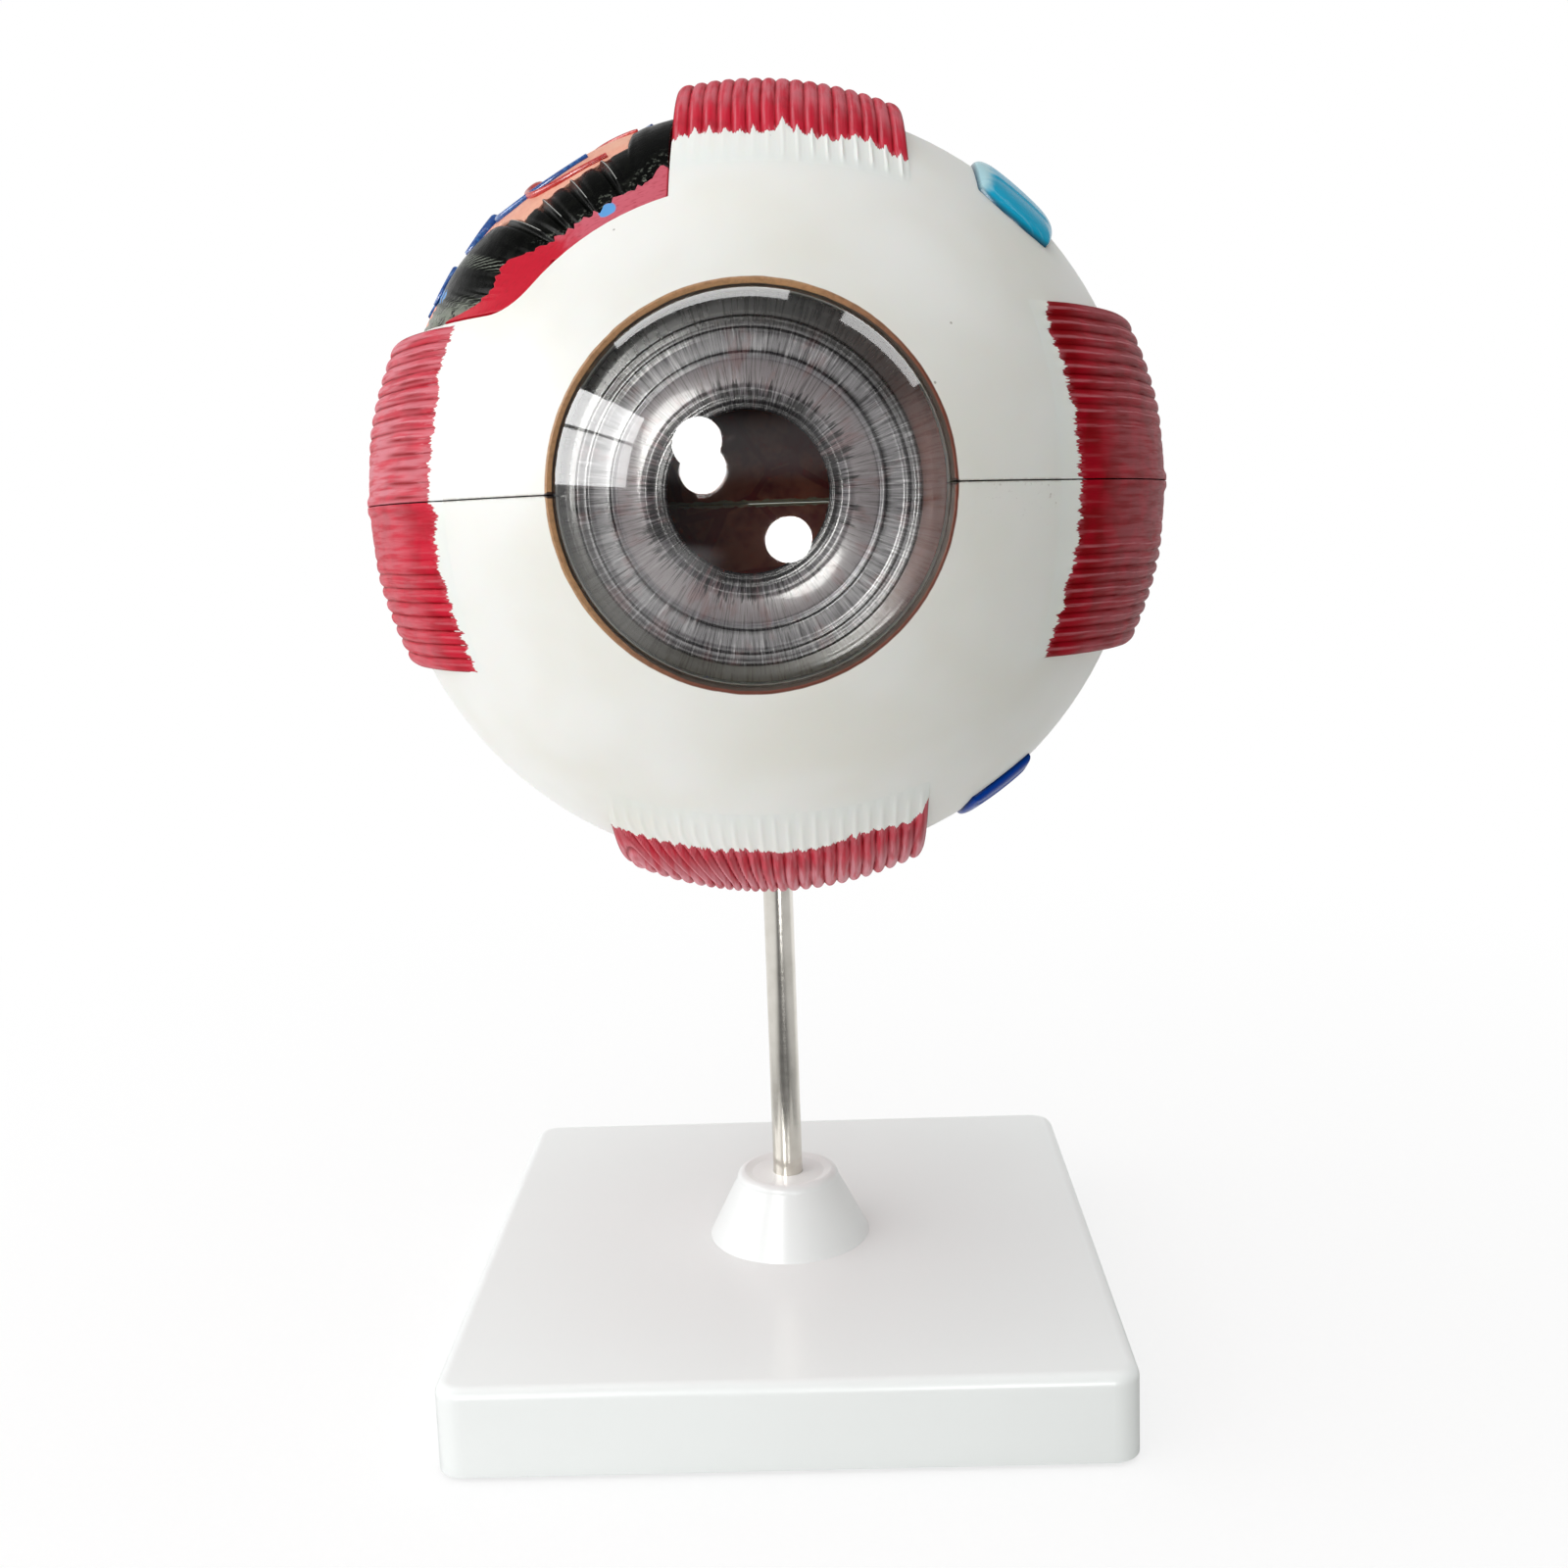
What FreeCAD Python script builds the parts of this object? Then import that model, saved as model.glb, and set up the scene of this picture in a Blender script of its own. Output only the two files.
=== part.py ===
"""Eye anatomy model: a six times life size eyeball that comes apart, on a rod and a square plinth.

Millimetres. +Z is up, the cornea looks along -Y and the origin is the centre of the underside.
The eyeball's own pieces are built about its centre with the seam level, and place() then tips
them up a little and lifts them onto the rod. "Depth" is a distance from the eyeball's centre
towards the cornea.
"""

import FreeCAD, Part
import math
import os

Vector = FreeCAD.Vector
CENTRE = Vector(0, 0, 0)
RIGHT = Vector(1, 0, 0)
BACK = Vector(0, 1, 0)
FRONT = Vector(0, -1, 0)
UP = Vector(0, 0, 1)

# How far cutting tools run past the faces they cut
PAST = 1.0
# How near a point is to a face to count as on it
ON_FACE = 1e-6

# Stand
BASE_WIDTH = 124.0
BASE_DEPTH = 125.0
BASE_TOP = 17.0
BASE_LIFT = 0.8
BASE_WALL = 2.5
BASE_TOP_WALL = 3.0
BASE_CORNER_RADIUS = 5.0
BASE_EDGE_RADIUS = 2.2
BASE_RIB = 2.0
PAD_THICKNESS = 2.0
PAD_GAP = 0.3
BOSS_RADIUS = 12.0
BOSS_DROP = 5.0
COLLAR_FOOT_RADIUS = 16.4
COLLAR_TOP_RADIUS = 10.4
COLLAR_HEIGHT = 13.4
COLLAR_LIP = 1.5
COLLAR_DISH = 0.5
ROD_RADIUS = 3.0
ROD_HOLE_GAP = 0.05
ROD_CHAMFER = 0.5
THREAD_PITCH = 1.0
THREAD_DEPTH = 0.45
THREAD_LENGTH = 9.0
WASHER_RADIUS = 6.0
WASHER_THICKNESS = 1.0
NUT_FLATS = 10.0
NUT_HEIGHT = 4.5
NUT_CHAMFER = 0.6
STUD_END = 0.8

# Eyeball shells
EYE_RADIUS = 72.0
EYE_HEIGHT = 168.4
EYE_TILT = 2.0
SCLERA_WALL = 4.5
RETINA_WALL = 4.0
LAYER_GAP = 0.3
SEAM_GAP = 0.25
BOND_GAP = 0.05
PIN_RADIUS = 1.2
PIN_LENGTH = 10.0
PIN_GAP = 0.2
PIN_BEARINGS = (52.0, 128.0, 218.0, 308.0)

# Socket for the rod
SOCKET_RADIUS = 5.2
SOCKET_CAP = 1.5
SOCKET_INSET = 1.0
SOCKET_BOSS_RADIUS = 8.0
SOCKET_BOSS_REACH = 14.5
ROD_FIT = 0.05
ROD_PASS_GAP = 0.5
POCKET_GAP = 1.0

# Front opening, cornea, iris and lens
OPENING_RADIUS = 31.8
OPENING_BEVEL = 1.1
OPENING_COLLAR = 3.4
LEDGE_SETBACK = 12.0
LEDGE_THICKNESS = 3.0
LEDGE_RADIUS = 28.5
FIT_GAP = 0.3
CORNEA_CURVE = 47.0
CORNEA_WALL = 1.8
CORNEA_SETBACK = 0.6
IRIS_THICKNESS = 2.0
IRIS_STEP_RADII = (28.1, 26.2, 22.3)
IRIS_STEP_RISE = 0.9
IRIS_RISE = 1.8
PUPIL_RADIUS = 13.0
LENS_RADIUS = 27.0
LENS_SIGHT_RADIUS = 25.0
LENS_RIM = 3.6
LENS_SETBACK = 9.0
LENS_FRONT_CURVE = 60.0
LENS_BACK_CURVE = 36.0
CILIARY_DEEP = 3.0
CILIARY_BAND = 4.0
CILIARY_LIP = 1.6
CILIARY_LIP_REACH = 1.7
CILIARY_WEB = 3.0
CILIARY_SLOTS = 32
CILIARY_SLOT = 1.4
CILIARY_SLOT_LENGTH = 9.0
VITREOUS_GAP = 0.6

# Muscles
RECTUS_MIDDLE_ANGLE = 80.0
RECTUS_BACK_ANGLE = 124.0
RECTUS_LIP = 0.9
RIB_DEPTH = 0.7
SUPERIOR_HALF = 27.6
SUPERIOR_FRONT_ANGLE = 47.0
SUPERIOR_THICKNESS = 4.4
SUPERIOR_PITCH = 2.7
INFERIOR_HALF = 28.5
INFERIOR_FRONT_ANGLE = 49.5
INFERIOR_THICKNESS = 5.0
INFERIOR_PITCH = 2.3
MEDIAL_HALF = 29.5
MEDIAL_FRONT_ANGLE = 45.5
MEDIAL_THICKNESS = 3.4
LATERAL_HALF = 30.0
LATERAL_FRONT_ANGLE = 44.0
LATERAL_THICKNESS = 4.8
SIDE_PITCH = 3.0
OBLIQUE_BEVEL = 1.6
OBLIQUE_CORNER = 4.0
SUPERIOR_OBLIQUE_THICKNESS = 2.3
SUPERIOR_OBLIQUE_WIDTH = 18.0
SUPERIOR_OBLIQUE_LENGTH = 30.0
SUPERIOR_OBLIQUE_BEARING = 68.0
SUPERIOR_OBLIQUE_ELEVATION = 45.0
SUPERIOR_OBLIQUE_TWIST = 27.5
INFERIOR_OBLIQUE_THICKNESS = 1.5
INFERIOR_OBLIQUE_WIDTH = 16.0
INFERIOR_OBLIQUE_LENGTH = 19.0
INFERIOR_OBLIQUE_BEARING = 72.5
INFERIOR_OBLIQUE_ELEVATION = -51.8
INFERIOR_OBLIQUE_TWIST = -30.0

# Cut-away window in the upper shell
WINDOW_DEPTH = 2.2
WINDOW_FRONT_ANGLE = 43.0
CHOROID_BACK_ANGLE = 50.5
FOLDS_BACK_ANGLE = 62.0
WINDOW_BACK_ANGLE = 122.0
WINDOW_SIDE = 12.2
WINDOW_SILL = 0.6
WINDOW_CORNER_RADIUS = 10.0
WINDOW_GAP = 0.15
CHOROID_RELIEF = 1.35
RETINA_RELIEF = 1.0
FOLD_BED = 0.5
FOLD_RELIEF = 1.8
FOLD_CLOCK_ANGLES = (106.0, 112.0, 118.0, 124.0, 130.5, 137.5)
FOLD_WIDTH = 5.0

# Optic nerve
NERVE_BEARING = 15.0
NERVE_RADIUS = 11.0
NERVE_LENGTH = 20.0
NERVE_FLARE = 2.6
NERVE_FLARE_LENGTH = 7.0
NERVE_CORE_RADIUS = 8.0
NERVE_CORE_PROUD = 1.0
VESSEL_RADIUS = 1.5
VESSEL_SPACING = 3.4
VESSEL_PROUD = 0.6
VESSEL_INSET = 1.0


def ball(radius, centre=CENTRE):
    """A sphere."""
    return Part.makeSphere(radius, centre)


def cylinder(radius, start, direction, length):
    """A round bar from start along direction."""
    return Part.makeCylinder(radius, length, start, direction)


def front_bar(radius, near, far):
    """A round bar on the eye's axis between two depths."""
    return cylinder(radius, FRONT * near, FRONT, far - near)


def hollow_ball(outer, inner):
    """A spherical shell."""
    return ball(outer).cut(ball(inner))


def half_space(upper):
    """The block above or below the seam, half a gap away from it."""
    size = 4 * EYE_RADIUS
    low = SEAM_GAP / 2 if upper else -size - SEAM_GAP / 2
    corner = Vector(-size / 2, -size / 2, low)
    return Part.makeBox(size, size, size, corner)


def lathe_front(outline):
    """Turns an outline of (radius, depth) points about the eye's axis."""
    points = [Vector(radius, -depth, 0) for radius, depth in outline]
    face = Part.Face(Part.makePolygon(points + points[:1]))
    return face.revolve(CENTRE, BACK, 360)


def lathe_up(outline):
    """Turns an outline of (radius, height) points about the vertical axis."""
    points = [Vector(radius, 0, height) for radius, height in outline]
    face = Part.Face(Part.makePolygon(points + points[:1]))
    return face.revolve(CENTRE, UP, 360)


def place(shape):
    """Tips an eyeball piece up and lifts it to its height on the rod."""
    placed = shape.copy()
    placed.rotate(CENTRE, RIGHT, -EYE_TILT)
    placed.translate(UP * EYE_HEIGHT)
    return placed


# Stand ----------------------------------------------------------------------------------------


def rounded_block(width, depth, low, high, corner):
    """A block on the vertical axis with rounded upright edges."""
    block = Part.makeBox(width, depth, high - low, Vector(-width / 2, -depth / 2, low))
    upright = [e for e in block.Edges if abs(e.Vertexes[0].Z - e.Vertexes[1].Z) > ON_FACE]
    return block.makeFillet(corner, upright)


def boss_bottom():
    """Height of the plinth's inner boss, where the washer bears."""
    return BASE_TOP - BASE_TOP_WALL - BOSS_DROP


def make_base_plate():
    """Hollow plinth with crossed ribs and a boss under the collar."""
    plate = rounded_block(BASE_WIDTH, BASE_DEPTH, BASE_LIFT, BASE_TOP, BASE_CORNER_RADIUS)
    rim = [e for e in plate.Edges if min(v.Z for v in e.Vertexes) > BASE_TOP - ON_FACE]
    plate = plate.makeFillet(BASE_EDGE_RADIUS, rim)
    ceiling = BASE_TOP - BASE_TOP_WALL
    inner = rounded_block(
        BASE_WIDTH - 2 * BASE_WALL,
        BASE_DEPTH - 2 * BASE_WALL,
        BASE_LIFT - PAST,
        ceiling,
        BASE_CORNER_RADIUS - BASE_WALL,
    )
    plate = plate.cut(inner)
    rib_height = ceiling - PAD_THICKNESS
    across = BASE_WIDTH - BASE_WALL
    along = BASE_DEPTH - BASE_WALL
    side_corner = Vector(-across / 2, -BASE_RIB / 2, PAD_THICKNESS)
    long_corner = Vector(-BASE_RIB / 2, -along / 2, PAD_THICKNESS)
    side_rib = Part.makeBox(across, BASE_RIB, rib_height, side_corner)
    long_rib = Part.makeBox(BASE_RIB, along, rib_height, long_corner)
    room = cylinder(BOSS_RADIUS, UP * -PAST, UP, boss_bottom() + PAST)
    ribs = side_rib.fuse(long_rib).cut(room)
    boss = cylinder(BOSS_RADIUS, UP * boss_bottom(), UP, BOSS_DROP)
    plate = plate.fuse([ribs, boss]).removeSplitter()
    return plate.cut(cylinder(ROD_RADIUS + ROD_HOLE_GAP, CENTRE, UP, BASE_TOP + PAST))


def make_base_pad():
    """Non-slip sheet that closes the underside and stands a little proud of the skirt."""
    inset = 2 * (BASE_WALL + PAD_GAP)
    corner = BASE_CORNER_RADIUS - BASE_WALL - PAD_GAP
    return rounded_block(BASE_WIDTH - inset, BASE_DEPTH - inset, 0, PAD_THICKNESS, corner)


def make_stand_collar():
    """Conical collar around the rod, with a rounded lip and a slightly dished top."""
    foot = Vector(COLLAR_FOOT_RADIUS, 0, BASE_TOP)
    top = BASE_TOP + COLLAR_HEIGHT
    shoulder = Vector(COLLAR_TOP_RADIUS, 0, top - COLLAR_LIP)
    crown = Vector(COLLAR_TOP_RADIUS - COLLAR_LIP, 0, top)
    turn = COLLAR_LIP * math.sin(math.radians(45))
    middle = Vector(COLLAR_TOP_RADIUS - COLLAR_LIP + turn, 0, top - COLLAR_LIP + turn)
    bore = ROD_RADIUS + ROD_HOLE_GAP
    dish = Vector(COLLAR_TOP_RADIUS - 2 * COLLAR_LIP, 0, top - COLLAR_DISH)
    inner_top = Vector(bore, 0, top - COLLAR_DISH)
    inner_foot = Vector(bore, 0, BASE_TOP)
    edges = [
        Part.makeLine(foot, shoulder),
        Part.Arc(shoulder, middle, crown).toShape(),
        Part.makeLine(crown, dish),
        Part.makeLine(dish, inner_top),
        Part.makeLine(inner_top, inner_foot),
        Part.makeLine(inner_foot, foot),
    ]
    return Part.Face(Part.Wire(edges)).revolve(CENTRE, UP, 360)


def rod_bottom():
    """Lower end of the rod, just past the nut."""
    return boss_bottom() - WASHER_THICKNESS - NUT_HEIGHT - STUD_END


def socket_end():
    """Height of the closed end of the rod's socket."""
    return EYE_HEIGHT - EYE_RADIUS + SOCKET_BOSS_REACH - 2 * SOCKET_CAP


def make_support_rod():
    """Round rod with chamfered ends and a threaded foot."""
    bottom = rod_bottom()
    top = socket_end() - ROD_FIT
    outline = [(0, bottom), (ROD_RADIUS - ROD_CHAMFER, bottom), (ROD_RADIUS, bottom + ROD_CHAMFER)]
    for turn in range(int(THREAD_LENGTH / THREAD_PITCH)):
        crest = bottom + ROD_CHAMFER + (turn + 0.25) * THREAD_PITCH
        outline.append((ROD_RADIUS, crest))
        outline.append((ROD_RADIUS - THREAD_DEPTH, crest + THREAD_PITCH / 3))
        outline.append((ROD_RADIUS, crest + 2 * THREAD_PITCH / 3))
    outline += [(ROD_RADIUS, top - ROD_CHAMFER), (ROD_RADIUS - ROD_CHAMFER, top), (0, top)]
    return lathe_up(outline)


def make_rod_washer():
    """Flat washer under the plinth's boss."""
    low = boss_bottom() - WASHER_THICKNESS
    disc = cylinder(WASHER_RADIUS, UP * low, UP, WASHER_THICKNESS)
    hole_length = WASHER_THICKNESS + 2 * PAST
    return disc.cut(cylinder(ROD_RADIUS + ROD_HOLE_GAP, UP * (low - PAST), UP, hole_length))


def make_rod_nut():
    """Hexagon nut with chamfered corners, under the washer."""
    low = boss_bottom() - WASHER_THICKNESS - NUT_HEIGHT
    corner = NUT_FLATS / 2 / math.cos(math.radians(30))
    points = []
    for side in range(7):
        angle = math.radians(60 * side)
        points.append(Vector(corner * math.cos(angle), corner * math.sin(angle), low))
    hexagon = Part.Face(Part.makePolygon(points)).extrude(UP * NUT_HEIGHT)
    envelope = lathe_up(
        [
            (0, low),
            (corner - NUT_CHAMFER, low),
            (corner, low + NUT_CHAMFER),
            (corner, low + NUT_HEIGHT - NUT_CHAMFER),
            (corner - NUT_CHAMFER, low + NUT_HEIGHT),
            (0, low + NUT_HEIGHT),
        ]
    )
    nut = hexagon.common(envelope)
    hole_length = NUT_HEIGHT + 2 * PAST
    return nut.cut(cylinder(ROD_RADIUS + ROD_HOLE_GAP, UP * (low - PAST), UP, hole_length))


# Eyeball shells -------------------------------------------------------------------------------


def nerve_direction():
    """The way the optic nerve leaves the eyeball: backwards and towards the nose."""
    angle = math.radians(NERVE_BEARING)
    return Vector(-math.sin(angle), math.cos(angle), 0)


def pins(radius, low, high):
    """Upright pins, or the tools for their holes, in the middle of the sclera's wall."""
    reach = EYE_RADIUS - SCLERA_WALL / 2
    solids = []
    for bearing in PIN_BEARINGS:
        angle = math.radians(bearing)
        foot = Vector(reach * math.sin(angle), -reach * math.cos(angle), low)
        solids.append(cylinder(radius, foot, UP, high - low))
    return solids


def make_locating_pins():
    """Pins pressed into the lower shell's rim that find the upper shell."""
    return Part.makeCompound(pins(PIN_RADIUS, -PIN_LENGTH / 2, PIN_LENGTH / 2))


def opening_lip():
    """Depth at which the bore of the front opening meets the sclera's surface."""
    return math.sqrt(EYE_RADIUS**2 - OPENING_RADIUS**2)


def ledge_back():
    """Depth of the rear face of the ledge inside the front opening."""
    return opening_lip() - LEDGE_SETBACK


def ledge_front():
    """Depth of the ledge's face, where the iris disc seats."""
    return ledge_back() + LEDGE_THICKNESS


def sclera():
    """Both halves of the sclera in one, with the ledged front opening and the nerve's hole."""
    collar = front_bar(OPENING_RADIUS + OPENING_COLLAR, ledge_back(), EYE_RADIUS)
    shell = hollow_ball(EYE_RADIUS, EYE_RADIUS - SCLERA_WALL).fuse(collar.common(ball(EYE_RADIUS)))
    lip = opening_lip()
    bevel = lathe_front(
        [
            (0, lip - OPENING_BEVEL),
            (OPENING_RADIUS, lip - OPENING_BEVEL),
            (OPENING_RADIUS + 2 * OPENING_BEVEL, lip + OPENING_BEVEL),
            (0, lip + OPENING_BEVEL),
        ]
    )
    nerve = cylinder(NERVE_RADIUS + FIT_GAP, CENTRE, nerve_direction(), 2 * EYE_RADIUS)
    return shell.cut(
        [
            front_bar(LEDGE_RADIUS, 0, EYE_RADIUS),
            front_bar(OPENING_RADIUS, ledge_front(), EYE_RADIUS),
            bevel,
            nerve,
        ]
    )


def rod_line(radius, bottom, top):
    """An upright bar on the rod's axis, in the stand's frame."""
    return cylinder(radius, UP * bottom, UP, top - bottom)


def make_sclera_lower():
    """Lower shell with the upright boss that holds the rod's socket."""
    shell = place(sclera().common(half_space(upper=False)))
    bottom = EYE_HEIGHT - EYE_RADIUS
    boss = rod_line(SOCKET_BOSS_RADIUS, bottom, bottom + SOCKET_BOSS_REACH)
    boss = boss.common(place(ball(EYE_RADIUS - SCLERA_WALL / 2)))
    bore = rod_line(SOCKET_RADIUS + BOND_GAP, bottom + SOCKET_INSET, socket_end() + SOCKET_CAP)
    entry = rod_line(ROD_RADIUS + ROD_PASS_GAP, bottom - PAST, bottom + SOCKET_INSET)
    holes = [place(hole) for hole in pins(PIN_RADIUS + BOND_GAP / 2, -PIN_LENGTH / 2, 0)]
    return shell.fuse(boss).cut([bore, entry] + holes)


def make_sclera_upper():
    """Upper shell with its cut-away window recess and the holes for the locating pins."""
    shell = sclera().common(half_space(upper=True))
    holes = pins(PIN_RADIUS + PIN_GAP, 0, PIN_LENGTH / 2 + PIN_GAP)
    floor = EYE_RADIUS - WINDOW_DEPTH
    recess = window_block(WINDOW_FRONT_ANGLE, WINDOW_BACK_ANGLE, floor, EYE_RADIUS + PAST, 0)
    return place(shell.cut(holes + [recess]))


def make_rod_socket():
    """Blind metal insert in the lower shell's boss that turns on the rod."""
    bottom = EYE_HEIGHT - EYE_RADIUS + SOCKET_INSET
    sleeve = rod_line(SOCKET_RADIUS, bottom, socket_end() + SOCKET_CAP)
    return sleeve.cut(rod_line(ROD_RADIUS + ROD_FIT, bottom - PAST, socket_end()))


def lens_rim_back():
    """Depth of the rear face of the lens's rim."""
    return ledge_back() - LENS_SETBACK


def lens_bulge(curve):
    """How far a face of the lens stands proud of its rim."""
    return curve - math.sqrt(curve**2 - LENS_SIGHT_RADIUS**2)


def ciliary_back():
    """Depth of the rear edge of the ciliary ring."""
    return lens_rim_back() - CILIARY_DEEP


def retina_outer():
    """Outer radius of the choroid and retina shells."""
    return EYE_RADIUS - SCLERA_WALL - LAYER_GAP


def retina_shell(upper):
    """Half of the choroid and retina shell, open in front of the ciliary ring."""
    outer = retina_outer()
    shell = hollow_ball(outer, outer - RETINA_WALL).common(half_space(upper))
    return shell.cut(front_bar(outer, ciliary_back() - LAYER_GAP, EYE_RADIUS))


def make_retina_lower():
    """Lower choroid and retina shell with a hole for the rod's boss."""
    bottom = EYE_HEIGHT - EYE_RADIUS
    hole = rod_line(SOCKET_BOSS_RADIUS + FIT_GAP, bottom, EYE_HEIGHT)
    return place(retina_shell(upper=False)).cut(hole)


def make_retina_upper():
    """Upper choroid and retina shell."""
    return place(retina_shell(upper=True))


def make_vitreous():
    """Clear body that fills the retina, flat behind the lens, with a pocket over the boss."""
    radius = retina_outer() - RETINA_WALL - LAYER_GAP
    front = lens_rim_back() - lens_bulge(LENS_BACK_CURVE) - VITREOUS_GAP
    body = place(ball(radius).cut(front_bar(radius, front, EYE_RADIUS)))
    bottom = EYE_HEIGHT - EYE_RADIUS
    pocket_top = bottom + SOCKET_BOSS_REACH + POCKET_GAP
    return body.cut(rod_line(SOCKET_BOSS_RADIUS + POCKET_GAP, bottom, pocket_top))


# Front pieces ---------------------------------------------------------------------------------


def insert_radius():
    """Radius of the discs that drop into the front opening."""
    return OPENING_RADIUS - FIT_GAP


def make_cornea():
    """Clear dome on a short skirt that plugs into the front opening."""
    radius = insert_radius()
    edge_depth = opening_lip() - CORNEA_SETBACK
    centre_depth = edge_depth - math.sqrt(CORNEA_CURVE**2 - radius**2)
    centre = FRONT * centre_depth
    skirt_foot = ledge_front() + 2 * FIT_GAP + IRIS_THICKNESS
    skirt = front_bar(radius, skirt_foot, edge_depth)
    dome = ball(CORNEA_CURVE, centre).common(
        front_bar(radius, edge_depth, centre_depth + CORNEA_CURVE + PAST)
    )
    hollow = ball(CORNEA_CURVE - CORNEA_WALL, centre).common(
        front_bar(radius - CORNEA_WALL, skirt_foot - PAST, centre_depth + CORNEA_CURVE)
    )
    sleeve = front_bar(radius - CORNEA_WALL, skirt_foot - PAST, edge_depth - PAST)
    return place(skirt.fuse(dome).cut(hollow.fuse(sleeve)).removeSplitter())


def make_iris():
    """Stepped disc that rises to the margin of the pupil."""
    seat = ledge_front() + FIT_GAP
    front = [(insert_radius(), seat)]
    depth = seat + IRIS_THICKNESS
    front.append((insert_radius(), depth))
    back = []
    for radius in IRIS_STEP_RADII:
        front.append((radius, depth))
        back.append((radius - IRIS_THICKNESS, depth - IRIS_THICKNESS))
        depth += IRIS_STEP_RISE
        front.append((radius, depth))
        back.append((radius - IRIS_THICKNESS, depth - IRIS_THICKNESS))
    top = depth + IRIS_RISE
    front.append((PUPIL_RADIUS + IRIS_THICKNESS / 2, top))
    front.append((PUPIL_RADIUS, top - IRIS_THICKNESS / 2))
    back.append((PUPIL_RADIUS, top - IRIS_THICKNESS))
    return place(lathe_front(front + back[::-1]))


def lens_half(curve, rim_depth, side):
    """One curved face of the lens, as a ball cut off at the rim. side is 1 in front, -1 behind."""
    centre = FRONT * (rim_depth - side * (curve - lens_bulge(curve)))
    near, far = sorted((rim_depth, rim_depth + side * curve))
    return ball(curve, centre).common(front_bar(LENS_SIGHT_RADIUS, near, far))


def make_lens():
    """Clear lens, rounder at the back, with a flat rim that seats in the ciliary ring."""
    rim_back = lens_rim_back()
    rim = front_bar(LENS_RADIUS, rim_back, rim_back + LENS_RIM)
    front = lens_half(LENS_FRONT_CURVE, rim_back + LENS_RIM, 1)
    back = lens_half(LENS_BACK_CURVE, rim_back, -1)
    return place(rim.fuse([front, back]).removeSplitter())


def ciliary_ring():
    """Ring behind the front ledge: a lens seat, a pleated web and a band along the sclera."""
    outer = retina_outer()
    bore = LENS_RADIUS + FIT_GAP
    back = ciliary_back()
    front = ledge_back() - 2 * FIT_GAP
    web_back = lens_rim_back() + LENS_RIM
    web_front = web_back + CILIARY_WEB
    rim_bore = math.sqrt(outer**2 - front**2) - CILIARY_BAND
    lip_front = lens_rim_back() - FIT_GAP
    lip_back = lip_front - CILIARY_LIP
    ring = lathe_front(
        [
            (bore, back),
            (bore, lip_back),
            (bore - CILIARY_LIP_REACH, lip_back),
            (bore - CILIARY_LIP_REACH, lip_front),
            (bore, lip_front),
            (bore, web_front),
            (rim_bore, web_front),
            (rim_bore, front),
            (outer, front),
            (outer, back),
        ]
    )
    room = front_bar(outer, back - PAST, web_back)
    room = room.common(ball(outer - RETINA_WALL))
    room = room.cut(front_bar(bore + CILIARY_BAND, back - 2 * PAST, web_front))
    slots = []
    for slot in range(CILIARY_SLOTS):
        corner = Vector(-CILIARY_SLOT / 2, -web_front - PAST, bore + CILIARY_BAND + CILIARY_SLOT)
        tool = Part.makeBox(CILIARY_SLOT, CILIARY_WEB + PAST, CILIARY_SLOT_LENGTH, corner)
        tool.rotate(CENTRE, BACK, (slot + 0.5) * 360 / CILIARY_SLOTS)
        slots.append(tool)
    return ring.common(ball(outer)).cut([room] + slots)


def make_ciliary(upper):
    """Upper or lower half of the ciliary ring."""
    return place(ciliary_ring().common(half_space(upper)))


# Muscles --------------------------------------------------------------------------------------


def over_the_top(angle):
    """Unit vector in the mirror plane, at an angle from the front over the top."""
    turn = math.radians(angle)
    return Vector(0, -math.cos(turn), math.sin(turn))


def ribbed_zone(radius, centre, low, high, ribs):
    """Slice of a ball between two sides across the eye, ribbed round its rim."""
    valleys = []
    crests = []
    for rib in range(ribs + 1):
        across = low + (high - low) * rib / ribs
        valleys.append(centre + Vector(across, 0, RIB_DEPTH - math.sqrt(radius**2 - across**2)))
    for rib in range(ribs):
        across = low + (high - low) * (rib + 0.5) / ribs
        crests.append(centre + Vector(across, 0, -math.sqrt(radius**2 - across**2)))
    edges = [Part.makeLine(centre + RIGHT * low, valleys[0])]
    for rib in range(ribs):
        edges.append(Part.Arc(valleys[rib], crests[rib], valleys[rib + 1]).toShape())
    edges.append(Part.makeLine(valleys[-1], centre + RIGHT * high))
    edges.append(Part.makeLine(centre + RIGHT * high, centre + RIGHT * low))
    return Part.Face(Part.Wire(edges)).revolve(centre, RIGHT, 360)


def plain_zone(radius, low, high):
    """Slice of a ball about the eye's centre between two sides across the eye."""
    rim = []
    for across in (low, (low + high) / 2, high):
        rim.append(Vector(across, 0, -math.sqrt(radius**2 - across**2)))
    edges = [
        Part.makeLine(RIGHT * low, rim[0]),
        Part.Arc(*rim).toShape(),
        Part.makeLine(rim[2], RIGHT * high),
        Part.makeLine(RIGHT * high, RIGHT * low),
    ]
    return Part.Face(Part.Wire(edges)).revolve(CENTRE, RIGHT, 360)


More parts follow.
